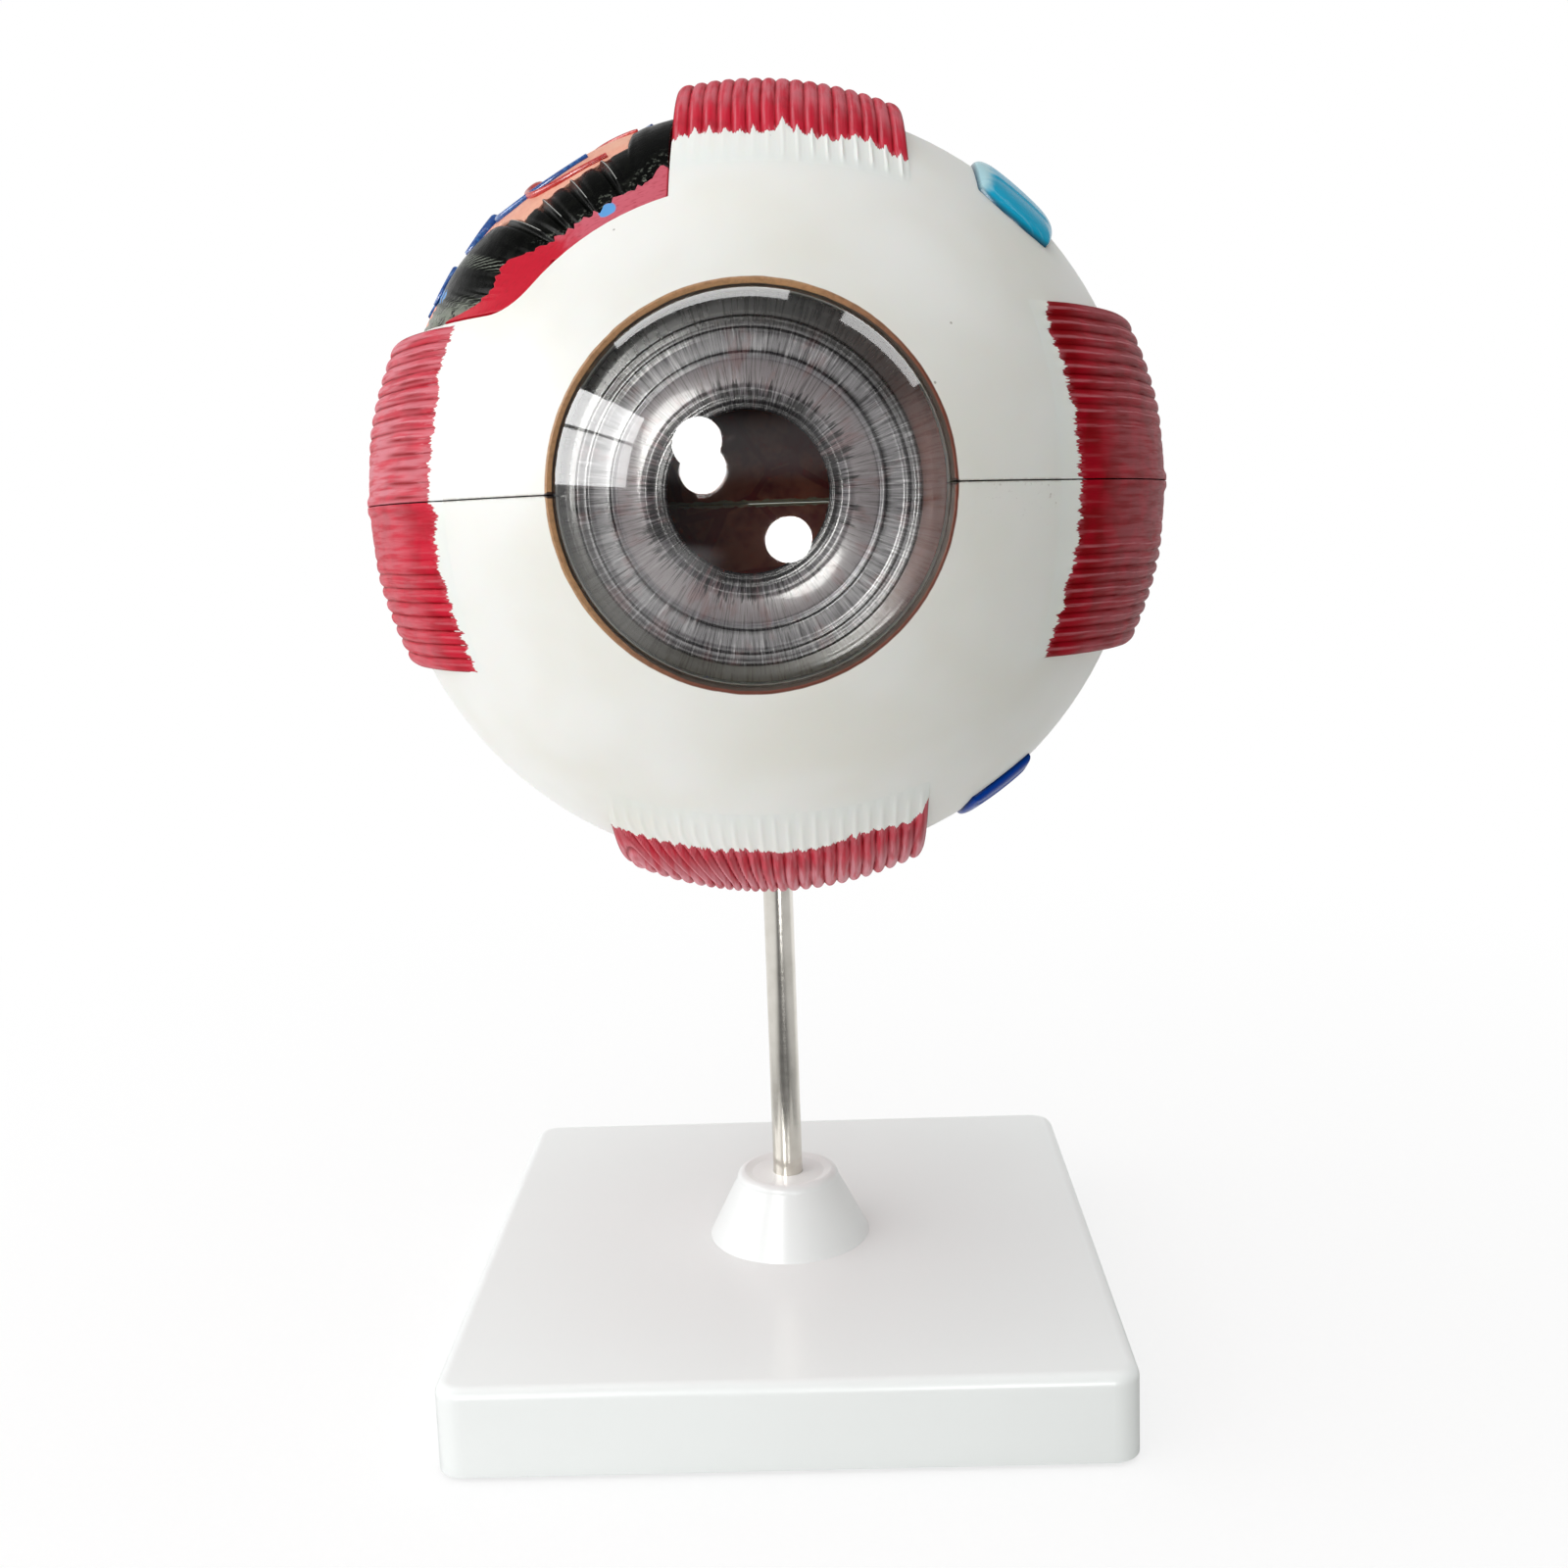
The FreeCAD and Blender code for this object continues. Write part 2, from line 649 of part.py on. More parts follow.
def rectus(low, high, front, thickness, pitch, turn):
    """A ribbed muscle band over the top of the eyeball, turned about the eye's axis.

    low and high are the band's sides across the eye, and front is the angle at which it starts
    as a thin lip that thickens backwards.
    """
    stations = (
        (front, RECTUS_LIP),
        (RECTUS_MIDDLE_ANGLE, thickness),
        (RECTUS_BACK_ANGLE, thickness),
    )
    rim = Part.Circle(*[over_the_top(angle) * (EYE_RADIUS + height) for angle, height in stations])
    zone = ribbed_zone(rim.Radius, rim.Center, low, high, round((high - low) / pitch))
    reach = 3 * EYE_RADIUS
    fan = [Vector(0, 0, 0)]
    for angle in (front, (front + RECTUS_BACK_ANGLE) / 2, RECTUS_BACK_ANGLE):
        fan.append(over_the_top(angle) * reach)
    wedge = Part.Face(Part.makePolygon(fan + fan[:1])).extrude(RIGHT * (high - low + 2 * PAST))
    wedge.translate(RIGHT * (low - PAST))
    band = zone.common(wedge).cut(plain_zone(EYE_RADIUS + BOND_GAP, low - PAST, high + PAST))
    band.rotate(CENTRE, BACK, turn)
    return band


def make_superior_rectus():
    """Upper muscle, cut short on the nose side by the window."""
    low = WINDOW_GAP - WINDOW_SIDE
    band = rectus(low, SUPERIOR_HALF, SUPERIOR_FRONT_ANGLE, SUPERIOR_THICKNESS, SUPERIOR_PITCH, 0)
    return place(band)


def make_inferior_rectus():
    """Lower muscle, with the hole that the rod passes."""
    half = INFERIOR_HALF
    band = rectus(-half, half, INFERIOR_FRONT_ANGLE, INFERIOR_THICKNESS, INFERIOR_PITCH, 180)
    bottom = EYE_HEIGHT - EYE_RADIUS
    passage = rod_line(ROD_RADIUS + ROD_PASS_GAP, bottom - 3 * INFERIOR_THICKNESS, bottom + PAST)
    return place(band).cut(passage)


def make_side_rectus(upper, temporal):
    """Half of a side muscle, on one side of the seam."""
    half = LATERAL_HALF if temporal else MEDIAL_HALF
    front = LATERAL_FRONT_ANGLE if temporal else MEDIAL_FRONT_ANGLE
    thickness = LATERAL_THICKNESS if temporal else MEDIAL_THICKNESS
    low, high = (SEAM_GAP / 2, half) if upper != temporal else (-half, -SEAM_GAP / 2)
    return place(rectus(low, high, front, thickness, SIDE_PITCH, 90 if temporal else -90))


def rounded_outline(length, width, height):
    """A rounded rectangle wire across the Z axis at a height."""
    block = Part.makeBox(length, width, 1, Vector(-length / 2, -width / 2, height))
    upright = [e for e in block.Edges if abs(e.Vertexes[0].Z - e.Vertexes[1].Z) > 0.5]
    block = block.makeFillet(OBLIQUE_CORNER, upright)
    return min(block.Faces, key=lambda face: face.CenterOfMass.z).OuterWire


def oblique_pad(thickness, width, length, bearing, elevation, twist):
    """A bevelled pad on the sclera, where an oblique muscle ends.

    bearing is the angle from the front towards the temple, and twist turns the pad's long side
    up from the horizontal.
    """
    shrink = 2 * OBLIQUE_BEVEL
    foot = rounded_outline(length, width, EYE_RADIUS - thickness)
    head = rounded_outline(length - shrink, width - shrink, EYE_RADIUS + 2 * thickness)
    pad = Part.makeLoft([foot, head], True)
    pad = pad.common(hollow_ball(EYE_RADIUS + thickness, EYE_RADIUS + BOND_GAP))
    pad.rotate(CENTRE, UP, twist)
    pad.rotate(CENTRE, RIGHT, 90 - elevation)
    pad.rotate(CENTRE, UP, bearing)
    return place(pad)


def make_superior_oblique():
    """Light pad on the upper temple side."""
    return oblique_pad(
        SUPERIOR_OBLIQUE_THICKNESS,
        SUPERIOR_OBLIQUE_WIDTH,
        SUPERIOR_OBLIQUE_LENGTH,
        SUPERIOR_OBLIQUE_BEARING,
        SUPERIOR_OBLIQUE_ELEVATION,
        SUPERIOR_OBLIQUE_TWIST,
    )


def make_inferior_oblique():
    """Dark pad on the lower temple side."""
    return oblique_pad(
        INFERIOR_OBLIQUE_THICKNESS,
        INFERIOR_OBLIQUE_WIDTH,
        INFERIOR_OBLIQUE_LENGTH,
        INFERIOR_OBLIQUE_BEARING,
        INFERIOR_OBLIQUE_ELEVATION,
        INFERIOR_OBLIQUE_TWIST,
    )


# Window ---------------------------------------------------------------------------------------


def cone_depth_cut(angle):
    """The space in front of a cone about the eye's axis, or behind it past 90 degrees."""
    reach = 4 * EYE_RADIUS
    if angle < 90:
        return Part.makeCone(0, reach * math.tan(math.radians(angle)), reach, CENTRE, FRONT)
    back = Part.makeCone(0, reach * math.tan(math.radians(180 - angle)), reach, CENTRE, BACK)
    return ball(2 * EYE_RADIUS).cut(back)


def across_axis(direction, axis, angle):
    """The unit vector at an angle from axis, on the side where direction lies."""
    side = (direction - axis * direction.dot(axis)).normalize()
    return axis * math.cos(angle) + side * math.sin(angle)


def corner_spandrel(gap):
    """What the rounded lower front corner of the window leaves standing."""
    reach = 3 * EYE_RADIUS
    turn = WINDOW_CORNER_RADIUS / EYE_RADIUS
    front = math.radians(WINDOW_FRONT_ANGLE) + gap / EYE_RADIUS
    sill = math.acos((MEDIAL_HALF + WINDOW_SILL + gap) / EYE_RADIUS)
    y = -math.cos(front + turn)
    z = math.cos(sill - turn)
    middle = Vector(-math.sqrt(1 - y**2 - z**2), y, z)
    ends = [across_axis(middle, FRONT, front), across_axis(middle, UP, sill)]
    fan = [CENTRE, ends[0] * reach, ends[1] * reach, CENTRE]
    outward = ends[0].cross(ends[1])
    outward = outward * (-math.copysign(EYE_RADIUS, outward.dot(middle)) / outward.Length)
    wedge = Part.Face(Part.makePolygon(fan)).extrude(outward)
    return wedge.cut(Part.makeCone(0, reach * math.tan(turn), reach, CENTRE, middle))


def window_block(front, back, inner, outer, gap):
    """A piece of the window between two cone angles and two radii, a gap in from its sides."""
    reach = 3 * EYE_RADIUS
    sill = MEDIAL_HALF + WINDOW_SILL
    corner = Vector(-WINDOW_SIDE - gap - reach, -reach, sill + gap)
    side = Part.makeBox(reach, 2 * reach, reach, corner)
    layer = hollow_ball(outer, inner).common(side)
    block = layer.common(cone_depth_cut(back)).cut(cone_depth_cut(front))
    return block.cut(corner_spandrel(gap))


def window_floor():
    """Radius on which the window's relief pieces lie."""
    return EYE_RADIUS - WINDOW_DEPTH + BOND_GAP


def angle_gap():
    """The window pieces' gap, as an angle."""
    return math.degrees(WINDOW_GAP / EYE_RADIUS)


def make_window_choroid():
    """Smooth strip along the window's front edge."""
    floor = window_floor()
    front = WINDOW_FRONT_ANGLE + angle_gap()
    back = CHOROID_BACK_ANGLE - angle_gap()
    return place(window_block(front, back, floor, floor + CHOROID_RELIEF, WINDOW_GAP))


def fold_pillow(clock):
    """One fold of the ciliary body: a pillow that lies along the cut."""
    floor = window_floor()
    length = EYE_RADIUS * math.radians(FOLDS_BACK_ANGLE - CHOROID_BACK_ANGLE) - WINDOW_GAP
    pillow = ball(1.0)
    stretch = FreeCAD.Matrix()
    stretch.scale(FOLD_WIDTH / 2, FOLD_RELIEF, length / 2)
    pillow = pillow.transformGeometry(stretch)
    pillow.translate(Vector(0, -floor, 0))
    pillow.rotate(CENTRE, RIGHT, -(CHOROID_BACK_ANGLE + FOLDS_BACK_ANGLE) / 2)
    pillow.rotate(CENTRE, BACK, 90 - clock)
    return pillow.cut(ball(floor + FOLD_BED / 2))


def make_window_folds():
    """Bed and row of dark folds behind the choroid strip."""
    floor = window_floor()
    front = CHOROID_BACK_ANGLE + angle_gap()
    back = FOLDS_BACK_ANGLE - angle_gap()
    bed = window_block(front, back, floor, floor + FOLD_BED, WINDOW_GAP)
    limit = window_block(front, back, floor, EYE_RADIUS, WINDOW_GAP)
    folds = [fold_pillow(clock).common(limit) for clock in FOLD_CLOCK_ANGLES]
    return place(bed.fuse(folds))


def make_window_retina():
    """Panel behind the folds."""
    floor = window_floor()
    front = FOLDS_BACK_ANGLE + angle_gap()
    back = WINDOW_BACK_ANGLE - angle_gap()
    return place(window_block(front, back, floor, floor + RETINA_RELIEF, WINDOW_GAP))


# Optic nerve ----------------------------------------------------------------------------------


def lathe_nerve(outline):
    """Turns (radius, distance) points about the optic nerve's axis."""
    turned = lathe_up(outline)
    turned.rotate(CENTRE, RIGHT, -90)
    turned.rotate(CENTRE, UP, NERVE_BEARING)
    return place(turned)


def nerve_bar(radius, start, end, across=0.0):
    """A bar along the optic nerve, moved sideways across it."""
    bar = cylinder(radius, Vector(across, 0, start), UP, end - start)
    bar.rotate(CENTRE, RIGHT, -90)
    bar.rotate(CENTRE, UP, NERVE_BEARING)
    return place(bar)


def nerve_start():
    """Distance from the eye's centre at which the nerve leaves the retina shell."""
    return retina_outer() + 2 * LAYER_GAP


def make_nerve_sheath():
    """Sleeve through the sclera, flared where it meets the eyeball."""
    flare = NERVE_RADIUS + NERVE_FLARE
    foot = math.sqrt((EYE_RADIUS + BOND_GAP) ** 2 - NERVE_RADIUS**2)
    bore = NERVE_CORE_RADIUS + BOND_GAP
    return lathe_nerve(
        [
            (bore, nerve_start()),
            (NERVE_RADIUS, nerve_start()),
            (NERVE_RADIUS, foot),
            (flare, foot),
            (NERVE_RADIUS, foot + NERVE_FLARE_LENGTH),
            (NERVE_RADIUS, EYE_RADIUS + NERVE_LENGTH),
            (bore, EYE_RADIUS + NERVE_LENGTH),
        ]
    )


def make_optic_nerve():
    """Core of the nerve, a little proud of its sheath, with two vessel holes."""
    end = EYE_RADIUS + NERVE_LENGTH + NERVE_CORE_PROUD
    core = nerve_bar(NERVE_CORE_RADIUS, nerve_start(), end)
    foot = nerve_start() + VESSEL_INSET
    holes = []
    for side in (-1, 1):
        offset = side * VESSEL_SPACING / 2
        holes.append(nerve_bar(VESSEL_RADIUS + BOND_GAP, foot, end + PAST, offset))
    return core.cut(holes)


def make_nerve_vessel(side):
    """Artery or vein in the middle of the nerve."""
    start = nerve_start() + VESSEL_INSET + BOND_GAP
    end = EYE_RADIUS + NERVE_LENGTH + NERVE_CORE_PROUD + VESSEL_PROUD
    return nerve_bar(VESSEL_RADIUS, start, end, side * VESSEL_SPACING / 2)


def make_parts():
    """All pieces by node name."""
    return {
        "base_plate": make_base_plate(),
        "base_pad": make_base_pad(),
        "stand_collar": make_stand_collar(),
        "support_rod": make_support_rod(),
        "rod_washer": make_rod_washer(),
        "rod_nut": make_rod_nut(),
        "rod_socket": make_rod_socket(),
        "sclera_lower": make_sclera_lower(),
        "sclera_upper": make_sclera_upper(),
        "locating_pins": place(make_locating_pins()),
        "superior_rectus": make_superior_rectus(),
        "inferior_rectus": make_inferior_rectus(),
        "medial_rectus_upper": make_side_rectus(upper=True, temporal=False),
        "medial_rectus_lower": make_side_rectus(upper=False, temporal=False),
        "lateral_rectus_upper": make_side_rectus(upper=True, temporal=True),
        "lateral_rectus_lower": make_side_rectus(upper=False, temporal=True),
        "superior_oblique": make_superior_oblique(),
        "inferior_oblique": make_inferior_oblique(),
        "nerve_sheath": make_nerve_sheath(),
        "optic_nerve": make_optic_nerve(),
        "retinal_artery": make_nerve_vessel(-1),
        "retinal_vein": make_nerve_vessel(1),
        "window_choroid": make_window_choroid(),
        "window_folds": make_window_folds(),
        "window_retina": make_window_retina(),
        "retina_lower": make_retina_lower(),
        "retina_upper": make_retina_upper(),
        "ciliary_lower": make_ciliary(upper=False),
        "ciliary_upper": make_ciliary(upper=True),
        "vitreous": make_vitreous(),
        "lens": make_lens(),
        "iris": make_iris(),
        "cornea": make_cornea(),
    }


os.makedirs("parts", exist_ok=True)
for node, shape in make_parts().items():
    shape.exportStep(f"parts/{node}.step")
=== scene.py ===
"""Finish of the eye anatomy model: moulded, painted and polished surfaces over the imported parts.

Mesh code works in millimetres in the eyeball's own frame, as the parts do: x to the temple side,
-y out of the cornea, z up, from the eyeball's centre. "Angle" is measured from the cornea's axis.
"""

import math
from collections import namedtuple
from functools import partial

import bmesh
import bpy
import numpy as np
from bpy.props import FloatProperty, FloatVectorProperty, IntProperty, PointerProperty
from mathutils import Matrix, Vector


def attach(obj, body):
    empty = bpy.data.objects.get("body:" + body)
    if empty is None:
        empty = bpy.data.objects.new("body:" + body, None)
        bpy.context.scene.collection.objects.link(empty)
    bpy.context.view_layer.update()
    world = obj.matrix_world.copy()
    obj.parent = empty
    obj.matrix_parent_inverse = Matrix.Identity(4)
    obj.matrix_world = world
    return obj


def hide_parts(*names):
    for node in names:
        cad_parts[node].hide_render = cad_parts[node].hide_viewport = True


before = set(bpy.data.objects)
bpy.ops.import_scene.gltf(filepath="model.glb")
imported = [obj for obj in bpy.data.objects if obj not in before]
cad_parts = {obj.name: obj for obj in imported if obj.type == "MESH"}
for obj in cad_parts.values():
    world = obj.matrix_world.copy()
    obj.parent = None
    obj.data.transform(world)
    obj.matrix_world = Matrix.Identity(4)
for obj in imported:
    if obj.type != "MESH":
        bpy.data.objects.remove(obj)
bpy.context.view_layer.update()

bl_info = {
    "name": "Eye anatomy model",
    "version": (1, 0, 0),
    "blender": (4, 5, 0),
    "location": "3D View > Sidebar > Eye model",
    "description": "Builds the painted muscles, window, iris and cornea of a classroom eyeball",
    "category": "Object",
}

# Eyeball, in millimetres and degrees, as its parts are built
EYE_RADIUS = 72.0
EYE_HEIGHT = 168.4
EYE_TILT = 2.0
SEAM_HALF_GAP = 0.125
OPENING_RADIUS = 31.8
OPENING_DEPTH = math.sqrt(EYE_RADIUS**2 - OPENING_RADIUS**2)
INSERT_RADIUS = 31.5
IRIS_SEAT = 55.9
IRIS_THICKNESS = 2.0
IRIS_STEPS = (28.1, 26.2, 22.3)
IRIS_STEP_RISE = 0.9
IRIS_RISE = 1.8
IRIS_SWELL = (21.0, 17.0)
IRIS_SWELL_MIDDLE = 13.8
IRIS_SWELL_CURVE = 17.0
PUPIL_RADIUS = 13.0
IRIS_SHIFT = (-0.65, -0.5)
CORNEA_CURVE = 47.0
CORNEA_WALL = 1.8
CORNEA_EDGE_DEPTH = OPENING_DEPTH - 0.6
CORNEA_FOOT_DEPTH = 58.2
SUNK = 0.15
MUSCLE_LIP = 0.9
MUSCLE_MIDDLE = 80.0
MUSCLE_BACK = 124.0
ROD_PASSAGE = 3.5
WINDOW_SIDE = 12.35
WINDOW_SILL = 30.25
WINDOW_FLOOR = 69.85
WINDOW_FRONT = 43.15
WINDOW_BACK = 121.8
WINDOW_CORNER = 10.0
WINDOW_SPAN = 60.0
FOLD_SPAN = 62.0
DEGREE_LENGTH = 1.25
EDGE_WIDTH = 0.45
EDGE_DROP = 0.25
VESSEL_DEPTH = 70.85
NERVE_BEARING = 15.0

MM = 0.001
WHITE = (1.0, 1.0, 1.0)
ACRYLIC_IOR = 1.49


# Materials ------------------------------------------------------------------------------------

# Shader nodes by short name: type, output, inputs in the order of a call, and settings
NODES = {
    "Blend": ("Mix", 2, (0, 6, 7), {"data_type": "RGBA"}),
    "Bump": ("Bump", 0, ("Height", "Distance", "Normal"), {}),
    "Distance": ("VectorMath", 1, (0, 1), {"operation": "DISTANCE"}),
    "Layers": ("MixShader", 0, (0, 1, 2), {}),
    "Length": ("VectorMath", 1, (0,), {"operation": "LENGTH"}),
    "Noise": ("TexNoise", 0, ("Vector", "Scale", "Detail", "Roughness"), {}),
    "Step": ("MapRange", 0, (0, 1, 2, 3, 4), {"interpolation_type": "SMOOTHSTEP"}),
    "Stretch": ("VectorMath", 0, (0, 1), {"operation": "MULTIPLY"}),
    "Surface": (
        "BsdfPrincipled",
        0,
        ("Base Color", "Roughness", "Normal", "IOR", "Specular IOR Level"),
        {},
    ),
}
# Leaves out a place's share along the eye's axis
OFF_AXIS = (1, 0, 1)


def linear(code):
    """Linear red, green and blue of an sRGB hex colour."""
    values = [int(code[place : place + 2], 16) / 255 for place in (0, 2, 4)]
    return tuple(v / 12.92 if v <= 0.04045 else ((v + 0.055) / 1.055) ** 2.4 for v in values)


def add_node(tree, kind, *values, out=None, ramp=(), **settings):
    """Adds a shader node, sets it up, fills or links its inputs, and returns one of its outputs.

    A name in capitals is a Math node's operation, and more than two values are taken in turn.
    """
    if kind.isupper():
        if len(values) > 2:
            values = add_node(tree, kind, *values[:-1]), values[-1]
        kind, first, order, usual = "Math", 0, (0, 1), {"operation": kind}
    else:
        kind, first, order, usual = NODES.get(kind, (kind, 0, range(len(values)), {}))
    made = tree.nodes.new("ShaderNode" + kind)
    for setting, value in {**usual, **settings}.items():
        setattr(made, setting, value)
    for number, (position, value) in enumerate(ramp):
        stops = made.color_ramp.elements
        stop = stops.new(position) if number > 1 else stops[number]
        stop.position = position
        stop.color = (*value, 1)
    named = values and isinstance(values[0], dict)
    for key, value in (values[0] if named else dict(zip(order, values))).items():
        if isinstance(value, bpy.types.NodeSocket):
            tree.links.new(value, made.inputs[key])
        elif isinstance(value, tuple) and len(made.inputs[key].default_value) == 4:
            made.inputs[key].default_value = (*value, 1)
        else:
            made.inputs[key].default_value = value
    return made.outputs[first if out is None else out] if len(made.outputs) else made


def new_material(name, surface, *settings):
    """A material with the shader that surface() builds in its node tree."""
    material = bpy.data.materials.new(name)
    material.use_nodes = True
    material.node_tree.nodes.clear()
    add = partial(add_node, material.node_tree)
    settings = [value if isinstance(value, float) else tuple(value) for value in settings]
    add("OutputMaterial", surface(add, *settings))
    return material


def eye_millimetres(add):
    """Coordinates in the eyeball's frame, in millimetres."""
    inputs = {"Vector": add("TexCoord", out="Object"), "Location": (0, 0, EYE_HEIGHT * MM)}
    inputs |= {"Rotation": (-math.radians(EYE_TILT), 0, 0), "Scale": (MM, MM, MM)}
    return add("Mapping", inputs, vector_type="TEXTURE")


def model_millimetres(add):
    """Coordinates in the model's frame, in millimetres."""
    return add("VectorMath", {0: add("TexCoord", out="Object"), "Scale": 1 / MM}, operation="SCALE")


def meet(add, *limits):
    """Where smooth steps meet: the product of them, each by its value and by its two ends."""
    return add("MULTIPLY", *[add("Step", *limit) for limit in limits])


def moulded_abs(add, white):
    """ABS, injection moulded and polished: even white, softly glossy, with slight flow marks."""
    flow = add("Noise", model_millimetres(add), 1 / 38.0, 1.0)
    colour = add("Blend", add("Step", flow, 0.3, 0.75, 0.0, 0.2), white, linear("F6F8F7"))
    rough = add("Step", flow, 0.3, 0.7, 0.28, 0.31)
    return add("Surface", colour, rough, add("Bump", flow, 0.03 * MM), 1.53, 0.3)


def cut_sheet(add, grey):
    """EVA sheet, die cut: matt dark grey with a fine open grain."""
    grain = add("Noise", model_millimetres(add), 1 / 0.8, 3.0)
    colour = add("Blend", grain, grey, linear("3A3A3B"))
    return add("Surface", colour, 0.86, add("Bump", grain, 0.06 * MM))


def ground_steel(add, steel):
    """Stainless steel, centreless ground: satin, with fine rings round the bar every 0.3 mm."""
    place = model_millimetres(add)
    rings = add("Noise", add("Stretch", place, (0.15, 0.15, 1)), 1 / 0.3, 2.0)
    wear = add("Step", add("Noise", place, 1 / 6.0, 3.0), 0.35, 0.7, 0.0, 0.5)
    keys = {"Base Color": add("Blend", wear, steel, linear("C4C0B6")), "Metallic": 1.0}
    keys |= {"Roughness": add("Step", rings, 0.25, 0.75, 0.16, 0.2)}
    return add("Surface", keys | {"Normal": add("Bump", rings, 0.001 * MM)})


def plated_steel(add, zinc):
    """Steel, turned and zinc plated: pale grey with a faint clouded plating."""
    place = model_millimetres(add)
    cloud = add("Noise", place, 1 / 1.6, 3.0)
    keys = {"Base Color": add("Blend", cloud, zinc, linear("8F959C")), "Metallic": 1.0}
    keys |= {"Roughness": add("Step", cloud, 0.3, 0.7, 0.26, 0.42)}
    return add("Surface", keys | {"Normal": add("Bump", add("Noise", place, 1 / 0.4), 0.01 * MM)})


def turned_brass(add, brass):
    """Brass, turned: warm yellow with tool rings every 0.2 mm."""
    rings = add("Noise", add("Stretch", model_millimetres(add), (0.1, 0.1, 1)), 1 / 0.2, 1.0)
    keys = {"Base Color": add("Blend", rings, brass, linear("9C7A36")), "Metallic": 1.0}
    return add("Surface", keys | {"Roughness": 0.3, "Normal": add("Bump", rings, 0.008 * MM)})


def ivory_colour(add, place, ivory):
    """The ivory of the moulded shells: slow clouding, with a few dark specks of dust."""
    cloud = add("Step", add("Noise", place, 1 / 26.0, 2.0), 0.35, 0.75, 0.0, 0.55)
    colour = add("Blend", cloud, ivory, linear("E7E5DA"))
    speck = add("TexVoronoi", {"Vector": place, "Scale": 1 / 11.0})
    return add("Blend", add("Step", speck, 0.012, 0.028, 0.55, 0.0), colour, linear("6E6353"))


def ivory_relief(add, place):
    """The faint orange peel of rotational moulding, with waves of about 5 mm and 0.7 mm."""
    waves = add("Bump", add("Noise", place, 1 / 5.0, 1.0), 0.02 * MM)
    return add("Bump", add("Noise", place, 1 / 0.7, 2.0), 0.004 * MM, waves)


def ivory_surface(add, place, colour):
    """The satin surface of the moulded shells, which lets a little light in."""
    rough = add("Step", add("Noise", place, 1 / 14.0), 0.3, 0.7, 0.36, 0.46)
    keys = {"Base Color": colour, "Roughness": rough, "Normal": ivory_relief(add, place)}
    keys |= {"IOR": 1.5, "Specular IOR Level": 0.35}
    keys |= {"Subsurface Weight": 0.08, "Subsurface Scale": 0.002}
    return add("Surface", keys)


def moulded_pvc(add, ivory, rim_lit, rim_shaded, grime, crimson):
    """PVC, rotationally moulded: satin ivory, with paint on the rim and in the cut-away's wall."""
    place = eye_millimetres(add)
    x, y, z = add("SeparateXYZ", place).node.outputs
    radius = add("Length", add("Stretch", place, OFF_AXIS))
    reach = add("Length", place)
    colour = ivory_colour(add, place, ivory)
    # Grime that has gathered along the seam
    height = add("ABSOLUTE", z)
    dirt = add("Noise", place, 1 / 1.1, 4.0, 0.7)
    below = meet(add, (z, -9.0, -0.4, 0.0, 1.0), (z, 0.0, 0.2, 1.0, 0.0), (x, 30.0, 50.0))
    spots = add("MULTIPLY", below, add("Step", dirt, 0.60, 0.72, 0.0, 0.5))
    line = meet(add, (height, 0.1, 0.5, 0.4, 0.0), (dirt, 0.3, 0.6, 0.35, 1.0))
    colour = add("Blend", add("MAXIMUM", spots, line), colour, grime)
    # Brush-painted ring on the opening's bevel, with painted light and shade: lighter over the nose
    # side, where the light falls, and darker over the temple side
    shade = add("Step", add("SUBTRACT", x, add("MULTIPLY", z, 0.75)), -20.0, 20.0)
    edge = add("ADD", radius, add("MULTIPLY", add("Noise", place, 1 / 4.0), 0.3))
    front = add("Step", y, -60.0, -59.0, 1.0, 0.0)
    ring = add("MULTIPLY", add("Step", edge, 32.95, 33.15, 1.0, 0.0), front)
    paint = add("Blend", shade, rim_lit, rim_shaded)
    paint = add("Blend", add("Step", dirt, 0.4, 0.7, 0.0, 0.35), paint, linear("5A3A24"))
    # Its inner edge and the bore behind it are near black, a painted shadow inside the opening,
    # which leaves the ring wider over the nose side
    inside = add("SUBTRACT", edge, add("MULTIPLY", shade, 0.45))
    paint = add("Blend", add("Step", inside, 31.95, 32.05, 1.0, 0.0), paint, linear("4A3F36"))
    colour = add("Blend", ring, colour, paint)
    # Painted shade in the small notches where the seam meets the ring
    notch = add("ADD", add("MULTIPLY", height, 1.6), radius)
    notch = meet(add, (notch, 33.15, 33.45, 1.0, 0.0), (height, 0.45, 0.6, 1.0, 0.0))
    colour = add("Blend", add("MULTIPLY", notch, front), colour, linear("2A1A10"))
    # Crimson run over the walls of the cut-away
    depths = (reach, 71.7, 71.9, 1.0, 0.0), (reach, 69.2, 69.4)
    sides = (z, 29.7, 29.9), (x, -12.0, -11.8, 1.0, 0.0), (y, -54.0, -53.5)
    colour = add("Blend", meet(add, *depths, *sides), colour, crimson)
    return ivory_surface(add, place, colour)


